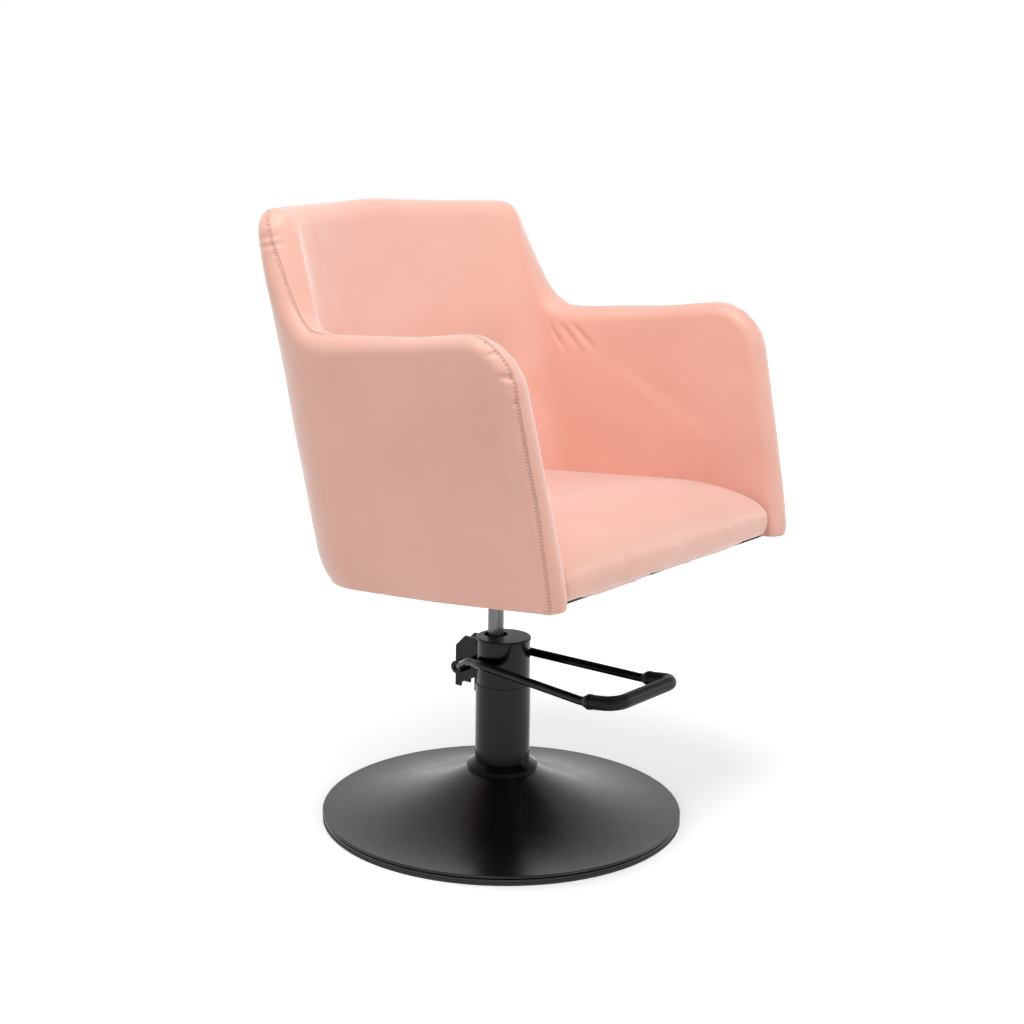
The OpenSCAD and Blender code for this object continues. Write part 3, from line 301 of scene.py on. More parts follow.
spread = face.reshape(-1, 2)
near = np.empty(len(spread), int)
near_gap = np.empty(len(spread))
for low in range(0, len(spread), 4000):
    d = np.linalg.norm(spread[low:low + 4000, None] - columns[None], axis=2)
    near[low:low + 4000] = d.argmin(1)
    near_gap[low:low + 4000] = d.min(1)
near_at = column_at[near]


def ripple(seed, s, h, waves, low, high):
    """A soft undulation: a sum of waves with lengths from low to high, in mm."""
    rng = random.Random(seed)
    total = np.zeros(np.broadcast(s, h).shape)
    for _ in range(waves):
        angle, phase = rng.uniform(0, math.pi), rng.uniform(0, 2 * math.pi)
        k = 2 * math.pi / rng.uniform(low, high)
        total += np.sin(k * (s * math.cos(angle) + h * math.sin(angle)) + phase)
    return total / math.sqrt(waves)


# Side of the rim that the seam lies on, in degrees from its crest outward, along the rim
SEAM_PLACES = [(0, 58), (45, 54), (85, 50), (120, 44), (155, 40), (250, 38), (277, 36), (290, 27), (307, 21),
               (328, 19), (342, 12), (365, -6), (400, -14), (590, -12), (622, 8), (641, 24), (660, 18),
               (675, 14), (712, 13), (744, 15), (774, 17), (799, 18), (830, 20), (880, 18),
               (RIM_LENGTH / 2, 18)]
seam_fine = np.linspace(0, RIM_LENGTH / 2, 1200)
seam_lie = np.interp(seam_fine, *zip(*SEAM_PLACES))
for _ in range(SEAM_ROUNDS):
    seam_lie[1:-1] = (seam_lie[:-2] + seam_lie[1:-1] * 2 + seam_lie[2:]) / 4


def seam_angle(at):
    return np.radians(np.interp(from_ends(at), seam_fine, seam_lie) + ripple(3, at, 0, 5, 40, 160) * 1.4)


# Puckers beside the seam: place along the rim from a corner, width, length, depth and slant
ARM_PUCKERS = [(34, 4, 11, 1.0, 0.2), (14, 3.6, 13, 1.8, 0.35), (-2, 3.8, 15, 2.6, 0.4),
               (-28, 4.2, 19, 3.4, 0.3), (-42, 3.5, 9, 1.0, 0.2), (-55, 3.6, 12, 2.0, 0.15),
               (-78, 3.6, 12, 1.7, 0.1), (-89, 3.5, 11, 1.4, 0.1), (-108, 3.8, 11, 1.2, 0),
               (-124, 3.6, 9, 0.8, 0), (-150, 4, 10, 0.7, 0)]
BACK_PUCKERS = [(58, 4, 12, 0.7, 0), (40, 4.2, 15, 2.8, 0.1), (28, 4.2, 17, 3.2, 0.1),
                (13, 4, 11, 1.0, 0), (-8, 4, 10, 0.7, 0), (-34, 4, 10, 0.7, 0)]
HOLLOW_PUCKERS = [(-30, 7, 20, 0.8, 0.3), (-8, 6, 16, 0.9, 0.2), (14, 7, 18, 0.8, 0)]
PUCKERS = [(corner + item[0],) + item[1:]
           for corner, items in ((corner_at, ARM_PUCKERS), (back_corner_at, BACK_PUCKERS),
                                 (hollow_at, HOLLOW_PUCKERS))
           for item in items]
PUCKER_SEED, INNER_PUCKER_SHARE = 5, 0.55
# Raised sides and spread of a pucker's profile, and of a fold's
PUCKER_SIDES, PUCKER_SPREAD, FOLD_SIDES, FOLD_SPREAD = 0.75, 1.3, 0.8, 1.2


def puckers(at, delta, strength):
    """Lift of the vinyl by its puckers, at a length along the rim and a distance from the seam."""
    rng = random.Random(PUCKER_SEED)
    total = np.zeros(np.broadcast(at, delta).shape)
    for mirrored in (False, True):
        for place, width, length, depth, slant in PUCKERS:
            place = place + rng.uniform(-2, 2) * (2 if mirrored else 0.3)
            depth = depth * (rng.uniform(0.6, 1.1) if mirrored else 1) * strength
            a = RIM_LENGTH - at if mirrored else at
            x = (a - place - slant * delta) / width
            total -= depth * (1 - PUCKER_SIDES * x * x) * np.exp(-x * x / PUCKER_SPREAD) * bell(delta, length)
    return total


def fold(s, h, s0, h0, angle, length, width, depth):
    """A soft fold in the face: a trough with raised sides, angle in degrees from the wall's length."""
    ca, sa = math.cos(math.radians(angle)), math.sin(math.radians(angle))
    along, across = (s - s0) * ca + (h - h0) * sa, -(s - s0) * sa + (h - h0) * ca
    x = across / width
    return -depth * (1 - FOLD_SIDES * x * x) * np.exp(-x * x / FOLD_SPREAD) * bell(along, length)


# Folds on both sides: length along the wall, height, angle, length, width and depth
INNER_FOLDS = [(HOLLOW_S - 64, ARM_H - 48, 52, 28, 6.0, 3.0), (HOLLOW_S - 40, ARM_H - 46, 56, 24, 5.5, 2.6),
               (HOLLOW_S - 16, ARM_H - 50, 60, 22, 5.0, 2.0), (150, ARM_H - 150, 38, 80, 20, 1.1),
               (205, ARM_H - 120, 42, 60, 14, 0.7), (HOLLOW_S + 60, ARM_H - 150, 35, 80, 20, 1.1)]
OUTER_FOLDS = [(40, 170, 91, 150, 13, 1.5), (HOLLOW_S + 6, ARM_H - 45, 60, 30, 9, 0.9)]


def folded(total, s, h, folds):
    """A lift with the same folds added on both sides."""
    for m in (s, 2 * HALF - s):
        for item in folds:
            total += fold(m, h, *item)
    return total


def inner_relief(s, h):
    """Lift of the inner cover's face off its plain form."""
    broad, narrow = ripple(11, s, h, 7, 90, 260), ripple(12, s, h, 6, 40, 90)
    return folded(broad * 0.9 + narrow * 0.18, s, h, INNER_FOLDS)


def outer_relief(s, h):
    """Lift of the outer cover's face off its plain form."""
    broad, narrow = ripple(21, s, h, 7, 110, 300), ripple(22, s, h, 6, 45, 100)
    return folded(broad * 0.7 + narrow * 0.12, s, h, OUTER_FOLDS)


# Rolled edge beside the seam: its width, the share of the relief left on it, and its rows' distances
ROLL, ROLLED_RELIEF = 1.7, 0.3
EDGE_ROWS = [0, 0.3, 0.7, 1.15, 1.7, 2.4, 3.4, 4.8]
# Distance from the seam that the unseen points are given, in mm
FAR_GAP = 500.0


def strip_deltas(total, extra):
    """Distances from the seam of each row of the rim, out to the face, for each column."""
    fixed = np.array(EDGE_ROWS)
    rest = np.linspace(0, 1, extra + 1)[1:]
    return np.concatenate([np.broadcast_to(fixed, (T, len(fixed))),
                           fixed[-1] + rest[None] * (total[:, None] - fixed[-1])], 1)[:, ::-1]


def seam_roll(delta):
    """How deep the vinyl turns in beside the seam."""
    return np.where(delta < ROLL, ROLL - np.sqrt(np.clip(ROLL ** 2 - (ROLL - delta) ** 2, 0, None)), 0)


def rim_point(out, base, radius, phi):
    """Point on the rim, at a radius from its middle and an angle from its crest outward."""
    flat = base + out * (radius * np.cos(phi))[..., None]
    return wall_point(flat[..., 0], flat[..., 1], radius * np.sin(phi))


def cover(name, sign, extra):
    """One cover of the wall, from its face over the rim to the seam, closed at the back on the plywood."""
    seam = seam_angle(column_at)
    total = rim_r * (math.pi / 2 - sign * seam)
    delta = strip_deltas(total, extra)[:, 1:]
    r = rim_r[:, None]
    phi = seam[:, None] + sign * delta / r
    at = column_at[:, None]
    relief = outer_relief if sign > 0 else inner_relief
    strength = 1 if sign > 0 else INNER_PUCKER_SHARE
    s_rim = columns[:, None, 0] + column_out[:, None, 0] * r * np.cos(phi)
    h_rim = columns[:, None, 1] + column_out[:, None, 1] * r * np.cos(phi)
    lift = relief(s_rim, h_rim) * np.abs(np.sin(phi)) ** 2 + puckers(at, delta, strength)
    radius = r - seam_roll(delta) + np.where(delta < ROLL, ROLLED_RELIEF, 1) * lift
    radius[:, -1] = rim_r - ROLL
    rim = rim_point(column_out[:, None], columns[:, None], radius, phi)
    delta_face = total[near] + near_gap
    lift = relief(spread[:, 0], spread[:, 1]) + puckers(near_at, delta_face, strength)
    front = wall_point(spread[:, 0], spread[:, 1], sign * (half_thick(spread[:, 0]) + lift))
    back = wall_point(spread[:, 0], spread[:, 1], sign * PLY_T / 2)
    rows = rim.shape[1]
    ply_edge = back[ring]
    back_strip = lerp(ply_edge[:, None], rim[:, -1:], (np.arange(1, rows) / rows)[None, :, None])

    n_face, n_rim = len(front), rows * T
    points = [front, rim.reshape(-1, 3), back, back_strip.reshape(-1, 3)]

    def front_at(t, m):
        return ring[t] if m == 0 else n_face + t * rows + m - 1

    def back_at(t, m):
        if m == rows:
            return front_at(t, m)
        base = n_face + n_rim
        return base + ring[t] if m == 0 else base + n_face + t * (rows - 1) + m - 1

    faces = []

    def quad(a, b, c, d, flip):
        faces.append((d, c, b, a) if flip else (a, b, c, d))

    flip = sign < 0
    for base, turned in ((0, flip), (n_face + n_rim, not flip)):
        for i in range(NI - 1):
            for j in range(NJ - 1):
                a = base + i * NJ + j
                quad(a, a + NJ, a + NJ + 1, a + 1, turned)
    for t in range(T - 1):
        for m in range(rows):
            quad(front_at(t, m), front_at(t, m + 1), front_at(t + 1, m + 1), front_at(t + 1, m), not flip)
            quad(back_at(t, m), back_at(t, m + 1), back_at(t + 1, m + 1), back_at(t + 1, m), flip)

    # The bottom edge is rounded, then runs flat to the plywood
    top_row = ([(front_at(0, m), back_at(0, m)) for m in range(rows, 0, -1)]
               + [(i * NJ, n_face + n_rim + i * NJ) for i in range(NI)]
               + [(front_at(T - 1, m), back_at(T - 1, m)) for m in range(1, rows + 1)])
    flat = np.concatenate(points)
    start = np.array([flat[a] for a, b in top_row])
    back_row = np.array([flat[b] for a, b in top_row])
    inward = back_row - start
    inward[:, 2] = 0
    reach = np.linalg.norm(inward, axis=1)
    inward = inward / np.maximum(reach, 1e-6)[:, None]
    bend = np.minimum(reach * 0.5, BOTTOM_R)
    steps = 5
    turn_rows = []
    for i in range(1, steps + 1):
        a = math.pi / 2 * i / steps
        ring_row = start + inward * (bend * (1 - math.cos(a)))[:, None]
        ring_row[:, 2] = start[:, 2] - BOTTOM_R * math.sin(a)
        turn_rows.append(ring_row)
    base = len(flat)
    n = len(top_row)
    under = back_row.copy()
    under[:, 2] = 0
    turn_rows.append(under)
    points += turn_rows
    index = [[a for a, b in top_row]]
    index += [list(range(base + k * n, base + (k + 1) * n)) for k in range(steps + 1)]
    index.append([b for a, b in top_row])
    for upper, lower in zip(index, index[1:]):
        for k in range(n - 1):
            if upper[k] == lower[k] and upper[k + 1] == lower[k + 1]:
                continue
            quad(upper[k], upper[k + 1], lower[k + 1], lower[k], not flip)
    for k in (0, n - 1):
        loop = [row[k] for row in index[:-1]]
        faces.append(tuple(loop if (k == 0) != flip else loop[::-1]))

    obj = new_mesh(name, in_tub(np.concatenate(points)), faces)
    uv = obj.data.uv_layers.new(name="seam")
    run_of = np.zeros(sum(len(p) for p in points))
    gap_of = np.full(len(run_of), FAR_GAP)
    run_of[:n_face] = near_at
    gap_of[:n_face] = delta_face
    run_of[n_face:n_face + n_rim] = np.repeat(column_at, rows)
    gap_of[n_face:n_face + n_rim] = delta.ravel()
    loops = np.empty(len(obj.data.loops), int)
    obj.data.loops.foreach_get("vertex_index", loops)
    uv.data.foreach_set("uv", np.stack([run_of[loops] * MM, gap_of[loops] * MM], 1).ravel())
    return obj


outer = cover("outer_vinyl", 1, 7)
inner = cover("inner_vinyl", -1, 11)


# Top stitching: distance from the seam, pitch, length of a loop and the thread's radius, in mm
STITCH_OFF, STITCH_PITCH, STITCH_LENGTH, THREAD_R = 2.6, 4.4, 2.7, 0.6
# Rings of a loop: place along it, thickness, and height of the middle in thread radii
LOOP_RINGS = [(-0.04, 0.35, -0.5), (0.08, 0.85, 0.05), (0.3, 1, 0.25),
              (0.7, 1, 0.25), (0.92, 0.85, 0.05), (1.04, 0.35, -0.5)]


def stitches(name, delta, pitch, length, thread_r):
    """Top stitching beside the seam, as short sunk loops of thread."""
    count = int(RIM_LENGTH / pitch)
    starts = (np.arange(count) + 0.5) * pitch
    sides = 6
    points, faces = [], []
    at = starts[:, None] + np.array([r[0] for r in LOOP_RINGS])[None] * length
    at = np.clip(at, 0, RIM_LENGTH)
    s_rim = np.interp(at, column_at, columns[:, 0])
    h_rim = np.interp(at, column_at, columns[:, 1])
    out = unit(np.stack([np.interp(at, column_at, column_out[:, i]) for i in range(2)], -1))
    base = np.stack([s_rim, h_rim], -1)
    r = half_thick(s_rim)
    phi = seam_angle(at) + delta / r
    s0 = s_rim + out[..., 0] * r * np.cos(phi)
    h0 = h_rim + out[..., 1] * r * np.cos(phi)
    lift = outer_relief(s0, h0) * np.abs(np.sin(phi)) ** 2 + puckers(at, delta, 1)
    low = rim_point(out, base, r + lift, phi)
    high = rim_point(out, base, r + lift + 1, phi)
    normal = unit(high - low)
    along = unit(low[:, -1:] - low[:, :1])
    side = unit(np.cross(along, normal))
    for k, (_, fat, rise) in enumerate(LOOP_RINGS):
        centre = low[:, k] + normal[:, k] * rise * thread_r
        for m in range(sides):
            a = 2 * math.pi * m / sides
            points.append(centre + thread_r * fat * (math.cos(a) * side[:, 0] + math.sin(a) * normal[:, k]))
    points = np.stack(points, 1)
    rings = len(LOOP_RINGS)
    per = rings * sides
    for c in range(count):
        o = c * per
        for k in range(rings - 1):
            for m in range(sides):
                n = (m + 1) % sides
                this, after = o + k * sides, o + (k + 1) * sides
                faces.append((this + m, this + n, after + n, after + m))
        faces.append(tuple(o + m for m in range(sides))[::-1])
        faces.append(tuple(o + (rings - 1) * sides + m for m in range(sides)))
    return new_mesh(name, in_tub(points.reshape(-1, 3)), faces)


thread = stitches("top_stitching", STITCH_OFF, STITCH_PITCH, STITCH_LENGTH, THREAD_R)


# Rows of the cushion's rear edge, top, front roll and face, its columns, and how far its lip is drawn in
REAR_ROWS, TOP_ROWS, ROLL_ROWS, FACE_ROWS, CUSHION_COLUMNS = 4, 26, 24, 5, 61
BESIDE_STEPS, LIP_INSET = 61, 4


def cushion_shape():
    """Closed form of the cushion, a little small, in rows over its top and under its lip."""
    def inside_at(q, h):
        n = unit(from_table(OUTWARD, q))
        plan = lerp(from_table(LOW_PATH, q), from_table(ARM_PATH, q), h / ARM_H)
        plan = plan - n * (wall_thick(q) + CUSHION_GAP + tuck(q, h))[..., None]
        return plan[..., 0], plan[..., 1]

    beside = np.linspace(0, CORNER_TO, BESIDE_STEPS)

    def inside_half(y, h):
        x, along = inside_at(beside, h)
        return float(np.interp(y, along, x))

    def rear_y(w, h):
        y = inside_at(np.array([1.0, CORNER_TO]), h)[1]
        return lerp(y[0], y[1], w * w)

    roll_start, face_top = FRONT_ROLL_L - CUSHION_FRONT, CUSHION_FRONT_H - FRONT_ROLL_H
    board_top, lip_back = BOARD_UP + BOARD_T, LIP_T - CUSHION_FOOT

    def top_h(y, w):
        middle = lerp(CUSHION_FRONT_H, CUSHION_BACK_H, (y - roll_start) / (BACK_LOW - roll_start))
        return middle - SIDE_DROP * abs(w) ** 4

    line = ([("rear", 1 - math.cos(math.radians(90 - 90 / REAR_ROWS * i))) for i in range(REAR_ROWS)]
            + [("top", t) for t in np.linspace(0.0, 1, TOP_ROWS)]
            + [("roll", 90 * i / ROLL_ROWS) for i in range(1, ROLL_ROWS + 1)]
            + [("face", h) for h in np.linspace(face_top, 0, FACE_ROWS)[1:]])
    top, under = [], []
    for w in np.sin(np.linspace(-math.pi / 2, math.pi / 2, CUSHION_COLUMNS)):
        column, low = [], []
        back = rear_y(w, CUSHION_BACK_H - SIDE_DROP)
        r = CUSHION_REAR_R
        for kind, a in line:
            if kind == "rear":
                y, h = back - r + r * math.sqrt(max(0, 1 - (1 - a) ** 2)), top_h(back, w) - a * r
            elif kind == "top":
                y = lerp(back - r, roll_start, a)
                h = top_h(y, w)
            elif kind == "roll":
                a = math.radians(a)
                y = roll_start - FRONT_ROLL_L * math.sin(a)
                h = lerp(face_top, top_h(roll_start, w), math.cos(a))
            else:
                y, h = lerp(-CUSHION_FOOT, -CUSHION_FRONT, a / face_top), a
            column.append((w * inside_half(y, h), y, h))
            hu = min(h, board_top)
            yu = min(max(y, lip_back), rear_y(w, hu))
            low.append((w * (inside_half(yu, hu) - LIP_INSET), yu, board_top if yu > lip_back else hu))
        top.append(column)
        under.append(low)
    return np.array(top), np.array(under)


def cushion_mesh():
    top, under = cushion_shape()
    n, m = top.shape[:2]
    points = np.concatenate([top.reshape(-1, 3), under.reshape(-1, 3)])
    faces = []
    size = n * m
    for i in range(n - 1):
        for j in range(m - 1):
            a = i * m + j
            faces.append((a, a + m, a + m + 1, a + 1))
            faces.append((size + a + 1, size + a + m + 1, size + a + m, size + a))
        faces.append((i * m, size + i * m, size + (i + 1) * m, (i + 1) * m))
        e = m - 1
        faces.append(((i + 1) * m + e, size + (i + 1) * m + e, size + i * m + e, i * m + e))
    for j in range(m - 1):
        faces.append((j + 1, size + j + 1, size + j, j))
        a = (n - 1) * m + j
        faces.append((a, size + a, size + a + 1, a + 1))
    return new_mesh("seat_vinyl", in_tub(points), faces)


def coords(mesh):
    co = np.empty(len(mesh.vertices) * 3)
    mesh.vertices.foreach_get("co", co)
    return co.reshape(-1, 3)


def set_coords(mesh, co):
    mesh.vertices.foreach_set("co", np.asarray(co, float).ravel())
    mesh.update()


def apply_all(obj):
    """Turns the piece's modifiers into its mesh."""
    deps = bpy.context.evaluated_depsgraph_get()
    mesh = bpy.data.meshes.new_from_object(obj.evaluated_get(deps))
    obj.modifiers.clear()
    old = obj.data
    obj.data = mesh
    bpy.data.meshes.remove(old)


def inflate(obj, pressure, frames, cap, pinned):
    """Swells a closed mesh as filled cloth, holding the pinned points, no point moving more than cap."""
    rest = coords(obj.data)
    group = obj.vertex_groups.new(name="pin")
    group.add([int(i) for i in np.nonzero(pinned)[0]], 1.0, "REPLACE")
    cloth = obj.modifiers.new("cloth", "CLOTH")
    cloth.settings.use_pressure = True
    cloth.settings.uniform_pressure_force = pressure
    cloth.settings.effector_weights.gravity = 0
    cloth.settings.vertex_group_mass = "pin"
    cloth.settings.tension_stiffness = 20
    cloth.settings.compression_stiffness = 20
    cloth.settings.shear_stiffness = 10
    cloth.settings.bending_stiffness = 1.5
    cloth.settings.quality = 6
    cloth.point_cache.frame_start = 1
    cloth.point_cache.frame_end = frames
    for f in range(1, frames + 1):
        scene.frame_set(f)
    deps = bpy.context.evaluated_depsgraph_get()
    done = coords(obj.evaluated_get(deps).data)
    obj.modifiers.clear()
    obj.vertex_groups.clear()
    move = done - rest
    far = np.linalg.norm(move, axis=1, keepdims=True)
    set_coords(obj.data, rest + move * np.minimum(1, cap / np.maximum(far, 1e-9)))
    scene.frame_set(1)


# Swelling of the cushion: sizes in metres, pressure, number of frames, and the height that it is held below
VOXEL, SWELL_CAP, SWELL_PRESSURE, SWELL_FRAMES = 0.0055, 0.006, 4, 20
PIN_UNDER_BOARD = 16
PINNED_BELOW = (TUB_BOTTOM + BOARD_UP + BOARD_T - PIN_UNDER_BOARD) * MM

seat = cushion_mesh()
remesh = seat.modifiers.new("remesh", "REMESH")
remesh.mode, remesh.voxel_size = "VOXEL", VOXEL
smooth = seat.modifiers.new("smooth", "CORRECTIVE_SMOOTH")
smooth.factor, smooth.iterations, smooth.use_only_smooth = 0.5, 10, True
apply_all(seat)
inflate(seat, SWELL_PRESSURE, SWELL_FRAMES, SWELL_CAP, coords(seat.data)[:, 2] < PINNED_BELOW)
sub = seat.modifiers.new("subdivision", "SUBSURF")
sub.levels = sub.render_levels = 1
apply_all(seat)
seat.data.polygons.foreach_set("use_smooth", [True] * len(seat.data.polygons))


def add(tree, kind, props=None, **inputs):
    """A node with its properties and inputs, which are values or other nodes' outputs."""
    node = tree.nodes.new(kind)
    for key, value in (props or {}).items():
        setattr(node, key, value)
    for key, value in inputs.items():
        socket = node.inputs[key.replace("_", " ")]
        if isinstance(value, bpy.types.NodeSocket):
            tree.links.new(value, socket)
        else:
            socket.default_value = value
    return node


def shader(name, **constants):
    """A material with constants set on its own sockets, and the object's coordinates."""
    mat = bpy.data.materials.new(name)
    mat.use_nodes = True
    tree = mat.node_tree
    bsdf = tree.nodes["Principled BSDF"]
    for key, value in constants.items():
        bsdf.inputs[key.replace("_", " ")].default_value = value
    place = add(tree, "ShaderNodeTexCoord").outputs["Object"]
    return mat, tree, bsdf, place


def noise(tree, place, scale, detail):
    node = add(tree, "ShaderNodeTexNoise", Vector=place, Scale=scale, Detail=detail, Roughness=0.55)
    return node.outputs[0]


def ramp(tree, fac, a, b):
    """Colour from a to b, over the middle of a noise's range."""
    node = add(tree, "ShaderNodeValToRGB", Fac=fac)
    for element, position, colour in zip(node.color_ramp.elements, (0.3, 0.7), (a, b)):
        element.position, element.color = position, (*colour, 1)
    return node.outputs[0]


def spread_to(tree, fac, low, high, start=0.3, end=0.7):
    """A value from low to high, as fac goes from start to end."""
    node = add(tree, "ShaderNodeMapRange", Value=fac, From_Min=start, From_Max=end, To_Min=low, To_Max=high)
    return node.outputs[0]


def maths(tree, op, a, b=None):
    node = tree.nodes.new("ShaderNodeMath")
    node.operation = op
    for i, value in enumerate((a, b)):
        if value is None:
            continue
        if isinstance(value, bpy.types.NodeSocket):
            tree.links.new(value, node.inputs[i])
        else:
            node.inputs[i].default_value = value
    return node.outputs[0]


def bump(tree, height, strength, distance, normal=None):
    node = add(tree, "ShaderNodeBump", Height=height, Strength=strength, Distance=distance)
    if normal is not None:
        tree.links.new(normal, node.inputs["Normal"])
    return node.outputs[0]


VINYL = ((0.81, 0.44, 0.352), (0.85, 0.48, 0.388))
# Dark colour of the painted shade in the seam's groove and stitch holes
SEAM_PAINTED_SHADE = (0.24, 0.10, 0.07, 1)
# Painted shade in the seam's groove and its width, the strength of all painted shade, and the stitch holes'
# half width, soft edge and depth, in metres; the holes carry the same painted shade
CREASE_PAINTED_SHADE, CREASE_WIDTH, PAINTED_SHADE_STRENGTH = 0.4, 0.0009, 0.95
HOLE_IN, HOLE_OUT, HOLE_DEPTH = 0.0008, 0.0016, 0.0005
# A hole between two stitches starts and is full at these shares of the pitch from the stitch's middle
HOLE_START, HOLE_FULL = 0.27, 0.37
# Scales of the vinyl's patterns: tone, gloss, soft waves, cells and fine grain, and the cells' flat tops
TONE_SCALE, GLOSS_SCALE, WAVE_SCALE, CELL_SCALE, FINE_SCALE, CELL_TOP = 7.0, 40.0, 55.0, 620.0, 900.0, 0.16
# Sockets of the colour mix
MIX_SHARE, MIX_FIRST, MIX_SECOND, MIX_RESULT = 0, 6, 7, 2


def vinyl(name, kind):
    """Vinyl that is plain, seamed, or seamed and stitched; the seamed kinds carry painted shade in the seam's
    groove, and the stitched kind also in its stitch holes.
    """
    mat, tree, bsdf, place = shader(name, Specular_IOR_Level=0.3, Sheen_Weight=0.9, Sheen_Roughness=0.4)
    colour = ramp(tree, noise(tree, place, TONE_SCALE, 4.0), *VINYL)
    cells = add(tree, "ShaderNodeTexVoronoi", {"feature": "DISTANCE_TO_EDGE"}, Vector=place,
                Scale=CELL_SCALE, Randomness=0.9)
    grain = maths(tree, "MINIMUM", cells.outputs["Distance"], CELL_TOP)
    normal = bump(tree, noise(tree, place, WAVE_SCALE, 3.0), 0.22, 0.0006)
    normal = bump(tree, grain, 0.35, 0.00035, normal)
    normal = bump(tree, noise(tree, place, FINE_SCALE, 2.0), 0.12, 0.00015, normal)
    rough = spread_to(tree, noise(tree, place, GLOSS_SCALE, 4.0), 0.34, 0.44)
    if kind != "plain":
        uv = add(tree, "ShaderNodeUVMap", {"uv_map": "seam"}).outputs[0]
        parts = add(tree, "ShaderNodeSeparateXYZ", Vector=uv)
        gap = parts.outputs["Y"]
        # Painted shade: the seam's groove is darkened, most at its middle and not at all at its width's edge
        painted_shade = spread_to(tree, gap, CREASE_PAINTED_SHADE, 0.0, 0.0, CREASE_WIDTH)
        if kind == "stitched":
            phase = maths(tree, "FRACT", maths(tree, "DIVIDE", parts.outputs["X"], STITCH_PITCH * MM))
            hole = maths(tree, "ABSOLUTE", maths(tree, "SUBTRACT", phase, 0.5))
            along = spread_to(tree, hole, 0.0, 1.0, HOLE_START, HOLE_FULL)
            off = maths(tree, "ABSOLUTE", maths(tree, "SUBTRACT", gap, STITCH_OFF * MM))
            # Painted shade in the stitch holes, which the bump below also sinks
            dots = maths(tree, "MULTIPLY", along, spread_to(tree, off, 1.0, 0.0, HOLE_IN, HOLE_OUT))
            painted_shade = maths(tree, "MAXIMUM", painted_shade, dots)
            normal = bump(tree, maths(tree, "SUBTRACT", 1.0, dots), 0.6, HOLE_DEPTH, normal)
        # The painted shade mixes the vinyl's colour towards the dark colour of the seam's painted shade
        mix = tree.nodes.new("ShaderNodeMix")
        mix.data_type = "RGBA"
        tree.links.new(maths(tree, "MULTIPLY", painted_shade, PAINTED_SHADE_STRENGTH), mix.inputs[MIX_SHARE])
        tree.links.new(colour, mix.inputs[MIX_FIRST])
        mix.inputs[MIX_SECOND].default_value = SEAM_PAINTED_SHADE
        colour = mix.outputs[MIX_RESULT]
    tree.links.new(colour, bsdf.inputs["Base Color"])
    tree.links.new(rough, bsdf.inputs["Roughness"])
    tree.links.new(normal, bsdf.inputs["Normal"])
    return mat


def coated(name, dark, light, rough, peel, peel_size, **constants):
    """Black paint or moulded plastic: tone and gloss vary softly, with an orange-peel surface."""
    mat, tree, bsdf, place = shader(name, **constants)
    tree.links.new(ramp(tree, noise(tree, place, 9.0, 4.0), dark, light), bsdf.inputs["Base Color"])
    tree.links.new(spread_to(tree, noise(tree, place, 22.0, 5.0), *rough), bsdf.inputs["Roughness"])
    normal = bump(tree, noise(tree, place, peel_size, 2.0), peel, 0.0002)
    normal = bump(tree, noise(tree, place, peel_size * 6, 2.0), peel * 0.5, 0.00006, normal)
    tree.links.new(normal, bsdf.inputs["Normal"])
    return mat


def metal(name, dark, light, rough, stretch, **constants):
    """Bare metal with fine tool marks, stretched along one axis."""
    mat, tree, bsdf, place = shader(name, Metallic=1.0, **constants)
    lined = add(tree, "ShaderNodeMapping", Vector=place)
    lined.inputs["Scale"].default_value = stretch
    marks = noise(tree, lined.outputs[0], 60.0, 4.0)
    tree.links.new(ramp(tree, marks, dark, light), bsdf.inputs["Base Color"])
    tree.links.new(spread_to(tree, marks, *rough), bsdf.inputs["Roughness"])
    tree.links.new(bump(tree, marks, 0.15, 0.00008), bsdf.inputs["Normal"])
    return mat


def plywood():
    """Birch plywood with its grain along x."""
    mat, tree, bsdf, place = shader("plywood_birch", Roughness=0.6)
    lined = add(tree, "ShaderNodeMapping", Vector=place)
    lined.inputs["Scale"].default_value = (1.0, 9.0, 9.0)
    grain = noise(tree, lined.outputs[0], 14.0, 6.0)
    tree.links.new(ramp(tree, grain, (0.42, 0.26, 0.13), (0.66, 0.47, 0.28)), bsdf.inputs["Base Color"])
    tree.links.new(bump(tree, grain, 0.3, 0.0003), bsdf.inputs["Normal"])
    return mat


def woven():
    """Black dust cloth with a plain weave."""
    mat, tree, bsdf, place = shader("black_woven_cloth", Roughness=0.85, Sheen_Weight=0.3)
    waves = [add(tree, "ShaderNodeTexWave", {"bands_direction": d}, Vector=place, Scale=320.0, Distortion=0.6,
                 Detail=1.0).outputs[1] for d in ("X", "Y")]
    weave = maths(tree, "MULTIPLY", *waves)
    tree.links.new(ramp(tree, weave, (0.008, 0.008, 0.009), (0.03, 0.03, 0.032)), bsdf.inputs["Base Color"])
    tree.links.new(bump(tree, weave, 0.5, 0.0003), bsdf.inputs["Normal"])
    return mat


pink = vinyl("pink_vinyl", "plain")
pink_outer = vinyl("pink_vinyl_stitched", "stitched")
pink_inner = vinyl("pink_vinyl_seamed", "seamed")


def grey(level):
    return level, level, level


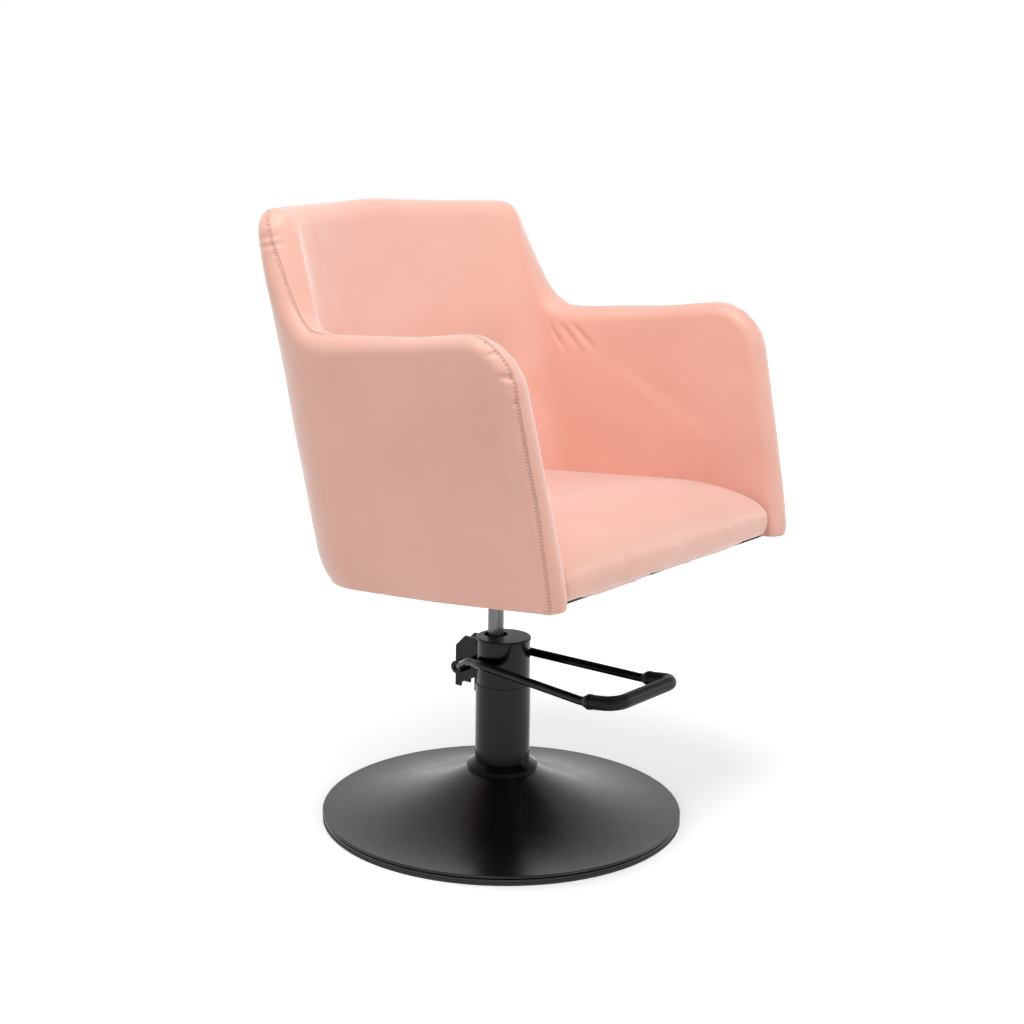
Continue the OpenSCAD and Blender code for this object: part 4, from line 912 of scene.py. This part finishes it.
materials = {
    "base_black": coated("satin_black_powder", grey(0.0035), grey(0.005), (0.23, 0.29), 0.10, 700.0,
                         Specular_IOR_Level=0.5),
    "gloss_black": coated("gloss_black_paint", grey(0.002), grey(0.004), (0.09, 0.17), 0.06, 260.0,
                          Specular_IOR_Level=0.22),
    "black_plastic": coated("black_plastic", grey(0.002), grey(0.003), (0.30, 0.38), 0.05, 300.0,
                            Specular_IOR_Level=0.18),
    "edge_rubber": coated("edge_rubber", grey(0.010), grey(0.016), (0.60, 0.72), 0.15, 900.0),
    "grip_rubber": coated("grip_rubber", (0.006, 0.006, 0.0055), (0.010, 0.0095, 0.009), (0.34, 0.46),
                          0.12, 800.0, Specular_IOR_Level=0.25),
    "seal_rubber": coated("seal_rubber", grey(0.012), grey(0.018), (0.5, 0.6), 0.1, 800.0),
    "rod_steel": metal("rod_steel", (0.10, 0.10, 0.102), (0.165, 0.165, 0.168), (0.24, 0.38),
                       (30.0, 30.0, 1.5), Anisotropic=0.4),
    "bright_steel": metal("bright_steel", (0.50, 0.50, 0.51), (0.64, 0.64, 0.65), (0.2, 0.3),
                          (20.0, 20.0, 4.0)),
    "plain_steel": metal("plain_steel", (0.22, 0.22, 0.23), (0.32, 0.32, 0.33), (0.35, 0.5), (6.0, 6.0, 6.0)),
    "zinc_steel": metal("zinc_steel", (0.50, 0.51, 0.54), (0.66, 0.67, 0.68), (0.25, 0.4), (8.0, 8.0, 8.0)),
    "cast_aluminium": metal("cast_aluminium", (0.48, 0.48, 0.49), (0.60, 0.60, 0.61), (0.4, 0.55),
                            (5.0, 5.0, 5.0)),
    "bronze": metal("bronze", (0.48, 0.33, 0.15), (0.60, 0.44, 0.22), (0.3, 0.42), (8.0, 8.0, 8.0)),
    "plywood": plywood(),
    "black_cloth": woven(),
    "pink_vinyl": pink,
}


def finish_in(obj, mat):
    obj.data.materials.clear()
    obj.data.materials.append(mat)


# Nodes of the CAD model that take each material
SLOTS = {
    "base_black": ["base_disc"],
    "edge_rubber": ["base_edge_ring"],
    "gloss_black": ["pump_collar", "pump_lower_tube", "pump_upper_shroud", "lever_bracket", "pedal_bosses",
                    "pedal_bar"],
    "black_plastic": ["pump_top_cap"],
    "grip_rubber": ["pedal_grip"],
    "seal_rubber": ["rod_seal", "piston_seal"],
    "rod_steel": ["piston_rod"],
    "bright_steel": ["plunger"],
    "plain_steel": ["base_hub_plate", "cylinder_tube", "plunger_spring", "pivot_pin", "rocker_arm",
                    "seat_hub", "mount_plate"],
    "zinc_steel": ["base_bolts", "base_washers", "mount_screws", "tee_nuts", "piston"],
    "cast_aluminium": ["pump_foot", "valve_block", "pump_head"],
    "bronze": ["rod_bush"],
    "plywood": ["seat_board", "shell_frame"],
    "black_cloth": ["dust_cover"],
    "pink_vinyl": ["outer_cover", "inner_cover", "seat_cushion"],
}
for slot, names in SLOTS.items():
    for name in names:
        finish_in(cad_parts[name], materials[slot])

finish_in(outer, pink_outer)
finish_in(inner, pink_inner)
finish_in(seat, pink)
thread_mat, tree, bsdf, place = shader("pink_thread", Roughness=0.6, Sheen_Weight=0.2)
thread_tone = ramp(tree, noise(tree, place, 500.0, 2.0), (0.70, 0.38, 0.31), (0.82, 0.48, 0.40))
tree.links.new(thread_tone, bsdf.inputs["Base Color"])
finish_in(thread, thread_mat)

for piece, node in ((outer, "outer_cover"), (inner, "inner_cover"), (seat, "seat_cushion"), (thread, None)):
    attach(piece, "seat")
    if node:
        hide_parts(node)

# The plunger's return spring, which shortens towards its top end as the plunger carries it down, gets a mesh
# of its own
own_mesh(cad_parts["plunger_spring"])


def background_rays(tree):
    """1 for rays from the camera, 1 for rays reflected by gloss or passed by glass."""
    path = add(tree, "ShaderNodeLightPath").outputs
    return path["Is Camera Ray"], maths(tree, "MAXIMUM", path["Is Glossy Ray"], path["Is Transmission Ray"])


# Floor, which shows pure white further out, in metres: its size, and where its glow grows and is full
FLOOR_SIZE, SHADOW_REACH, WHITE_FROM = 14, 0.6, 2.2
NEAR_GLOW = 0.4

bpy.ops.mesh.primitive_plane_add(size=FLOOR_SIZE)
floor = bpy.context.object
floor.name = "studio_floor"
floor_mat, tree, bsdf, place = shader("studio_white", Roughness=0.9, Specular_IOR_Level=0.1)
tree.links.new(ramp(tree, noise(tree, place, 2.0, 2.0), grey(0.925), grey(0.935)), bsdf.inputs["Base Color"])
bsdf.inputs["Emission Color"].default_value = (1, 1, 1, 1)
seen, mirrored = background_rays(tree)
far = add(tree, "ShaderNodeVectorMath", {"operation": "LENGTH"})
tree.links.new(place, far.inputs[0])
glow = spread_to(tree, far.outputs["Value"], NEAR_GLOW, 1.0, SHADOW_REACH, WHITE_FROM)
glow = maths(tree, "MULTIPLY", maths(tree, "MAXIMUM", seen, mirrored), glow)
tree.links.new(glow, bsdf.inputs["Emission Strength"])
finish_in(floor, floor_mat)

world = bpy.data.worlds.new("studio")
scene.world = world
world.use_nodes = True
tree = world.node_tree
tree.nodes.clear()
seen, mirrored = background_rays(tree)
direction = add(tree, "ShaderNodeTexCoord").outputs["Generated"]

# The studio's walls and ceiling: light from all round, and more of it from these sides
AROUND = 0.15
GLOWS = [((0.777, 0.629, 0.0), 0.9), ((-0.629, 0.777, 0.0), 0.6)]
BACKDROP_EDGE = (0.2, 0.5)


def glow_toward(way, strength):
    """Light from one side, which fades to nothing at right angles to it."""
    aimed = add(tree, "ShaderNodeVectorMath", {"operation": "DOT_PRODUCT"})
    tree.links.new(direction, aimed.inputs[0])
    aimed.inputs[1].default_value = Vector(way).normalized()
    lobe = maths(tree, "POWER", maths(tree, "MAXIMUM", aimed.outputs["Value"], 0.0), 2.0)
    return maths(tree, "MULTIPLY", lobe, strength)


glow = add(tree, "ShaderNodeValue").outputs[0]
glow.default_value = AROUND
for way, strength in GLOWS:
    glow = maths(tree, "ADD", glow, glow_toward(way, strength))
lit = add(tree, "ShaderNodeBackground", Color=(1, 1, 1, 1), Strength=glow)
plain = add(tree, "ShaderNodeBackground", Color=(1, 1, 1, 1), Strength=1.0)
mixed = tree.nodes.new("ShaderNodeMixShader")
# Gloss and glass show the white backdrop up to its top edge, and the studio's ceiling above it
height = add(tree, "ShaderNodeSeparateXYZ", Vector=direction).outputs["Z"]
backdrop = spread_to(tree, height, 1.0, 0.0, *BACKDROP_EDGE)
tree.links.new(maths(tree, "MAXIMUM", seen, maths(tree, "MULTIPLY", mirrored, backdrop)), mixed.inputs[0])
tree.links.new(lit.outputs[0], mixed.inputs[1])
tree.links.new(plain.outputs[0], mixed.inputs[2])
out = tree.nodes.new("ShaderNodeOutputWorld")
tree.links.new(mixed.outputs[0], out.inputs["Surface"])


def softbox(name, place, target, size, watts):
    light = bpy.data.lights.new(name, "AREA")
    light.shape, light.size, light.energy = "DISK", size, watts
    obj = bpy.data.objects.new(name, light)
    scene.collection.objects.link(obj)
    obj.location = place
    obj.rotation_euler = (Vector(target) - Vector(place)).to_track_quat("-Z", "Y").to_euler()


# Soft lamps: name, place, size and watts
SOFTBOXES = [
    ("key_above", (-0.7, -0.3, 2.9), 1.6, 53),
    ("front_fill", (-0.2, -3.0, 1.6), 1.6, 17),
    ("right_fill", (2.2, -1.9, 1.25), 1.6, 18),
    ("left_fill", (-2.4, -0.4, 2.0), 1.6, 4),
]
LAMPS_AIM = (0, 0, 0.6)
for name, place, size, watts in SOFTBOXES:
    softbox(name, place, LAMPS_AIM, size, watts)


# Camera at the photograph's angle: place in metres, angles in degrees, lens in pixels of the photograph
CAMERA = Vector((-2.0183, -1.6325, 1.0257))
HEADING, PITCH, PAN, ROLL_ANGLE = 51.03, 11.952, 0.217, 0.832
LENS_PIXELS, IMAGE_PIXELS, SENSOR = 1779.14, 1024, 36.0


def camera_axes():
    """The camera's right, up and forward directions."""
    pitch, pan, heading = math.radians(PITCH), math.radians(PAN), math.radians(HEADING)

    def in_row(v):
        x, y, z = v
        c, s = math.cos(heading), math.sin(heading)
        return Vector((x * c + y * s, -x * s + y * c, z))

    forward = in_row((math.sin(pan) * math.cos(pitch), math.cos(pan) * math.cos(pitch), -math.sin(pitch)))
    right = in_row((math.cos(pan), -math.sin(pan), 0))
    up = right.cross(forward)
    roll = math.radians(ROLL_ANGLE)
    c, s = math.cos(roll), math.sin(roll)
    return right * c + up * s, up * c - right * s, forward


right, up, forward = camera_axes()
camera_data = bpy.data.cameras.new("camera")
camera_data.sensor_width = SENSOR
camera_data.lens = LENS_PIXELS / IMAGE_PIXELS * SENSOR
camera_data.clip_end = 60
camera = bpy.data.objects.new("camera", camera_data)
scene.collection.objects.link(camera)
turned = Matrix((right, up, -forward)).transposed().to_4x4()
turned.translation = CAMERA
camera.matrix_world = turned
scene.camera = camera
scene.view_settings.view_transform = "Standard"
